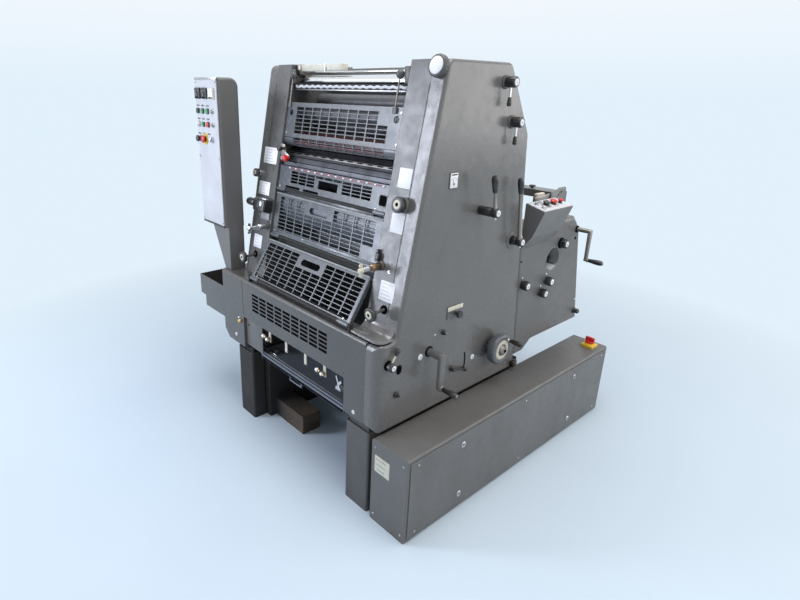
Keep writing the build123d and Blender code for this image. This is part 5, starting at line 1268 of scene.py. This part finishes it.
piece.boss(shifted(fork, 0.026, -0.014), 0.013, 0.01, (0.002, 0.002), black, 32)
plate = on_face(-0.334, 0.0165, 0.46)
piece.slab(plate, (0.146, 0.15, 0.004), paint, 0.001)
piece.turned(shifted(plate, -0.044, 0.032, 0.004), [(0.0058, 0), (0.0054, 0.0006), (0, 0.0006)], dark, 24)
piece.slab(on_face(-0.403, 0.0, 0.625), (0.0014, 0.18, 0.0004), dark)
knob = on_face(-0.431, 0.004, 0.5)
piece.turned(knob, [
    (0.006, 0), (0.006, 0.006), (0.0095, 0.008), (0.0095, 0.015), (0.0075, 0.018), (0, 0.0185),
], brass, 36)
piece.boss(shifted(knob, -0.01, 0.014), 0.0045, 0.012, (0.001, 0.002), bright, 24)
for x, z in ((0.394, 0.412), (-0.48, 0.412)):
    cap_disc(piece, on_face(x, 0.0, z), 0.0085)
cap_disc(piece, on_side(0.3, 0.24, -0.3095), 0.015)
# Vent slots drawn as dark sheets over the cover for their openings: painted shade.
slot_w = (VENT_X1 - VENT_X0 - (VENT_COLS - 1) * VENT_BAR) / VENT_COLS
pitch = (VENT_TALL - VENT_H) / (VENT_ROWS - 1)
for i in range(VENT_COLS):
    for j in range(VENT_ROWS):
        x = VENT_X0 + slot_w / 2 + i * (slot_w + VENT_BAR)
        slot = on_face(x, 0.0, VENT_TOP - VENT_H / 2 - j * pitch)
        piece.slab(slot, (slot_w + 0.002, VENT_H + 0.0025, 0.0004), dark)
piece.done("steel")

piece = Piece("pile_board_detail", "delivery_pile_board")
for z, tall in ((0.374, 0.005), (0.3535, 0.01)):
    piece.slab(on_face(0, 0.0302, z), (0.596, tall, 0.0006), dark)
piece.slab(on_top(-0.235, 0.075, 0.385), (0.06, 0.05, 0.005), bright, 0.001)
piece.slab(on_top(-0.245, 0.078, 0.39), (0.028, 0.026, 0.008), worn, 0.0015)
piece.slab(on_top(0, 0.043, 0.385), (0.596, 0.004, 0.0014), light_paint_and_highlight, 0.0004)
piece.done("board_paint")


# Glossy pad with a cove behind it
PAD_X0, PAD_X1, PAD_Y0, PAD_Z = 0.348, 0.506, 0.0105, 0.7306
PAD_CORNER, COVE_R, COVE_LEN = 0.03, 0.034, 0.152
piece = Piece("pad_detail")


def pad_outline(grow):
    """Outline of the pad with its rounded outer front corner."""
    right, front = PAD_X1 + grow, PAD_Y0 - grow
    corner = arc(right - PAD_CORNER, front + PAD_CORNER, PAD_CORNER, 270, 360, 9)
    return [(PAD_X0, front)] + corner + [(right, 0.086), (PAD_X0, 0.086)]


ledge = on_top(0, 0, LEDGE_Z)
piece.prism(shifted(ledge, z=0.0002), pad_outline(0.0022), 0.003, dark, 0.0006)
piece.prism(shifted(ledge, z=0.003), pad_outline(0.0), PAD_Z - LEDGE_Z - 0.003, gloss, 0.0022)
cove = on_side(0.0875, PAD_Z - 0.0004, PAD_X0)
curve = []
for a in range(0, 91, 9):
    rise = COVE_R * (1 - math.cos(math.radians(a)))
    curve.append((COVE_R * (math.sin(math.radians(a)) - 1) + rise * LEAN, rise))
piece.prism(cove, curve + [(0.014, COVE_R), (0.014, 0)], COVE_LEN, gloss, 0.0008)
piece.done("gloss_tray")


# Bracket beside the feeder's head
piece = Piece("feeder_bracket")
sheet = on_side(1.15, 1.085, 0.4555)
corner = arc(0.048, 0.048, 0.014, 0, 90, 6)
outline = [(-0.062, -0.071), (0.062, -0.071)] + corner + [(0.0, 0.062), (-0.026, 0.05), (-0.062, 0.046)]
piece.prism(sheet, outline, 0.004, paint, 0.001)
for x, y in ((0.01, 0.04), (0.024, 0.042), (0.0, 0.03)):
    piece.turned(shifted(sheet, x, y, 0.004), [(0.0042, 0), (0.004, 0.0006), (0, 0.0006)], dark, 18)
piece.slab(on_side(1.03, 1.112, 0.444), (0.13, 0.026, 0.01), worn, 0.002)
piece.slab(on_top(0.449, 1.006, 1.125), (0.016, 0.06, 0.012), cream, 0.003)
piece.done("steel")


# Drive side, rear and feeder
DRIVE_X, COVER_L, FEED_L = -0.592, -0.515, -0.51
REAR_FOOT_Y, REAR_FOOT_Z, REAR_LEAN = 0.771, 1.059, 0.101
HANDLE_Z, HANDLE_HALF = 1.3, 0.055
HANDLE = (
    (-HANDLE_HALF, 0), (-HANDLE_HALF, 0.026), (-0.047, 0.034),
    (0.047, 0.034), (HANDLE_HALF, 0.026), (HANDLE_HALF, 0),
)
COVER_SCREW_R = 0.0058


def on_rear(x, z, out=0.0):
    """Frame on the leaning rear cover."""
    normal = Vector((0, 1, REAR_LEAN)).normalized()
    return axes(at(x, REAR_FOOT_Y - REAR_LEAN * (z - REAR_FOOT_Z), z) + normal * out, normal, (0, 0, 1))


piece = Piece("drive_side_detail")
panel = on_left(COVER_L, 0.45, 0.98)
piece.prism(panel, rounded(0.36, 0.25, 0.016), 0.003, paint_cover, 0.001)
for x, y in product((-0.162, 0, 0.162), (-0.108, 0.108)):
    screw(piece, shifted(panel, x, y, 0.003), 0.0052, worn)
for y, z in ((0.15, 0.8), (0.79, 0.8), (0.31, 1.56), (0.6, 1.56), (0.235, 1.22), (0.72, 1.18)):
    screw(piece, on_left(COVER_L, y, z), COVER_SCREW_R, worn)
# Louvres: a dark strip behind each vane for the opening, painted shade; the vanes are in the darker front
# enamel, painted shade as well.
for k in range(10):
    for z in (0.525, 0.625):
        vane = on_left(DRIVE_X, 0.36 + 0.03 * k, z)
        piece.slab(vane, (0.008, 0.076, 0.0006), dark)
        piece.slab(shifted(vane, 0.007), (0.006, 0.08, 0.0034), shaded_front_paint, 0.0014)
for y, z in product((0.04, 0.425, 0.815), (0.455, 0.695)):
    screw(piece, on_left(DRIVE_X, y, z), 0.0055, worn)
for y, z in product((0.13, 0.89), (0.05, 0.31)):
    bolt(piece, on_left(-0.475, y, z), 0.0085, worn)
for y, z in product((0.93, 1.31), (0.56, 0.93)):
    screw(piece, on_left(FEED_L, y, z), COVER_SCREW_R, worn)
hatch = on_left(FEED_L, 1.11, 0.74)
piece.prism(hatch, rounded(0.2, 0.15, 0.012), 0.003, paint, 0.001)
for x, y in product((-0.086, 0.086), (-0.061, 0.061)):
    screw(piece, shifted(hatch, x, y, 0.003), 0.0045, worn)
piece.done("steel")

piece = Piece("rear_detail")
for x, z in product((-0.315, 0, 0.315), (1.085, 1.37)):
    screw(piece, on_rear(x, z), COVER_SCREW_R, worn)
piece.slab(on_rear(0, 1.215), (0.69, 0.002, 0.0005), dark)
for x in (-0.17, 0.17):
    piece.tube([on_rear(x + dx, HANDLE_Z, out).translation for dx, out in HANDLE], 0.005, black, 14)
    for dx in (-HANDLE_HALF, HANDLE_HALF):
        piece.boss(on_rear(x + dx, HANDLE_Z), 0.011, 0.004, (0.002, 0.002), black, 24)
for k in range(16):
    key = on_back(-0.3 + 0.04 * k, 0.59, 1.606)
    piece.turned(key, [
        (0.005, 0), (0.005, 0.006), (0.0095, 0.008), (0.0095, 0.017), (0.008, 0.019), (0, 0.019),
    ], black, 24, 12, 0.0006)
back = on_back(-0.646, 0.108, 1.255)
piece.prism(back, rounded(0.164, 0.54, 0.012), 0.0025, paint, 0.001)
for x, y in product((-0.07, 0.07), (-0.255, 0, 0.255)):
    screw(piece, shifted(back, x, y, 0.0025), 0.0045, worn)
piece.turned(on_back(-0.63, 0.1, 0.8), [
    (0.016, 0), (0.016, 0.01), (0.013, 0.014), (0.013, 0.02), (0, 0.02),
], black, 32)
piece.done("steel")

# Feed board tapes, head knobs and sucker feet
TAPE_SLOPE = 0.0649
piece = Piece("feeder_detail")
for x in (-0.27, -0.1, 0.1, 0.27):
    tape = axes(at(x, 0.74, 0.9826), (0, -TAPE_SLOPE, 1), (0, 1, TAPE_SLOPE))
    piece.slab(tape, (0.02, 0.5, 0.0012), cream)
    piece.turned(on_side(0.996, 1.0015, x - 0.012), [
        (0.006, 0), (0.0075, 0.001), (0.0075, 0.023), (0.006, 0.024),
    ], steel, 28)
for x in (-0.3, 0.3):
    top = on_top(x, 1.19, 1.122)
    piece.turned(top, [
        (0.007, 0), (0.007, 0.004), (0.015, 0.006), (0.015, 0.011), (0.013, 0.0125), (0, 0.0125),
    ], black, 40, 20, 0.0008)
for x in (-0.26 / 3, 0.26 / 3):
    foot = axes(at(x, 1.19, 0.952), (0, 0, -1), (0, 1, 0))
    piece.turned(foot, [(0.009, 0), (0.013, 0.004), (0.015, 0.01), (0.013, 0.012), (0, 0.012)], rubber, 32)
for side in (-1, 1):
    for y in (1.172, 1.208):
        bolt(piece, on_top(side * 0.437, y, 1.122), 0.0065, worn)
    rail = on_top(side * 0.25, 1.212, 0.52)
    piece.slab(rail, (0.016, 0.34, 0.006), worn, 0.001)
for k in range(5):
    jet = on_face(-0.08 + 0.04 * k, 1.115, 1.04)
    piece.boss(jet, 0.005, 0.018, (0.0015, 0.006), brass, 20)
piece.done("steel")


# Floor, light and camera
FLOOR_R = 30.0
FLOOR_NEAR, FLOOR_FAR = 1.3, 3.0
BACK_LOW = (0.76, 0.88, 0.97)
BACK_HIGH = (0.9, 0.94, 0.99)
FLOOR_DIM, FLOOR_PALE = (0.59, 0.7, 0.8), (0.61, 0.72, 0.82)
AMBIENT = 0.28


def build_floor():
    """Pale floor that fades into the backdrop far away."""
    bm = bmesh.new()
    bmesh.ops.create_circle(bm, cap_ends=True, radius=FLOOR_R, segments=64)
    mesh = bpy.data.meshes.new("studio_floor")
    bm.to_mesh(mesh)
    bm.free()
    floor = bpy.data.objects.new("studio_floor", mesh)
    bpy.context.scene.collection.objects.link(floor)
    material, tree, shader = new_material("pale_floor", specular=0.15)
    grain = remap(tree, noise(tree, 1.2, 3), 0.3, 0.7)
    tree.links.new(blend_colour(tree, grain, FLOOR_DIM, FLOOR_PALE), shader.inputs["Base Color"])
    shader.inputs["Roughness"].default_value = 0.7
    far = add(tree, "ShaderNodeEmission", {"Color": (*BACK_LOW, 1.0), "Strength": 1.0})
    distance = add(tree, "ShaderNodeVectorMath", {0: place_of(tree)}, operation="LENGTH").outputs["Value"]
    share = remap(tree, distance, FLOOR_NEAR, FLOOR_FAR)
    mixed = add(tree, "ShaderNodeMixShader", {0: share, 1: shader.outputs[0], 2: far.outputs[0]})
    tree.links.new(mixed.outputs[0], tree.nodes["Material Output"].inputs["Surface"])
    mesh.materials.append(material)


def build_world():
    """Pale backdrop for the camera and reflections, plain ambient light for the rest."""
    world = bpy.data.worlds.new("studio")
    bpy.context.scene.world = world
    world.use_nodes = True
    tree = world.node_tree
    tree.nodes.clear()
    path = add(tree, "ShaderNodeLightPath")
    direct = math_node(tree, "MAXIMUM", path.outputs["Is Camera Ray"], path.outputs["Is Glossy Ray"])
    direct = math_node(tree, "MAXIMUM", direct, path.outputs["Is Transmission Ray"])
    direction = add(tree, "ShaderNodeTexCoord").outputs["Generated"]
    up = add(tree, "ShaderNodeSeparateXYZ", {0: direction}).outputs[2]
    sky = blend_colour(tree, remap(tree, up, 0.0, 0.15), BACK_LOW, BACK_HIGH)
    seen = add(tree, "ShaderNodeBackground", {"Color": sky, "Strength": 1.0})
    ambient = add(tree, "ShaderNodeBackground", {"Color": (0.96, 0.98, 1.0, 1.0), "Strength": AMBIENT})
    mixed = add(tree, "ShaderNodeMixShader", {0: direct, 1: ambient.outputs[0], 2: seen.outputs[0]})
    output = add(tree, "ShaderNodeOutputWorld")
    tree.links.new(mixed.outputs[0], output.inputs["Surface"])


def build_lamp(name, place, aim, size, watts, colour=(1, 1, 1)):
    """Soft rectangular lamp aimed at a point."""
    lamp = bpy.data.lights.new(name, "AREA")
    lamp.shape = "RECTANGLE"
    lamp.size, lamp.size_y = size
    lamp.energy = watts
    lamp.color = colour
    holder = bpy.data.objects.new(name, lamp)
    bpy.context.scene.collection.objects.link(holder)
    holder.visible_camera = False
    origin = at(*place)
    holder.matrix_world = axes(origin, origin - at(*aim), (0, 0, 1))


def build_camera():
    """Camera as in the photograph."""
    camera = bpy.data.cameras.new("photo_camera")
    camera.sensor_width = SENSOR
    camera.lens = LENS_PX / PHOTO_PX[0] * SENSOR
    camera.shift_x = (PHOTO_PX[0] / 2 - CENTRE_PX[0]) / PHOTO_PX[0]
    camera.shift_y = (CENTRE_PX[1] - PHOTO_PX[1] / 2) / PHOTO_PX[0]
    holder = bpy.data.objects.new("photo_camera", camera)
    bpy.context.scene.collection.objects.link(holder)
    level = math.cos(CAMERA_DOWN)
    back = Vector((math.sin(CAMERA_TURN) * level, -math.cos(CAMERA_TURN) * level, math.sin(CAMERA_DOWN)))
    straight = axes(at(*CAMERA_AT), back, (0, 0, 1))
    holder.matrix_world = straight @ Matrix.Rotation(CAMERA_ROLL, 4, "Z")
    bpy.context.scene.camera = holder


build_floor()
build_world()
build_lamp("window_lamp", (-2.45, -3.05, 1.7), (0.43, 0.17, 1.22), (0.8, 2.6), 110, (0.8, 0.85, 1.0))
build_lamp("upper_lamp", (-3.2, -2.7, 2.5), (0.15, 0.23, 1.45), (1.0, 0.8), 12, (0.84, 0.87, 1.0))
build_lamp("rear_lamp", (2.7, 3.4, 1.9), (0.5, 0.6, 1.2), (2.5, 1.7), 40, (1.0, 0.95, 0.93))
build_lamp("side_lamp", (3.8, 0.8, 2.6), (0.4, 0.5, 0.9), (2.6, 2.6), 42, (1.0, 0.97, 0.94))
build_lamp("top_lamp", (0.4, 0.2, 4.3), (0.1, 0.5, 0.5), (3.0, 3.0), 125)
build_camera()
bpy.context.scene.view_settings.view_transform = "Standard"
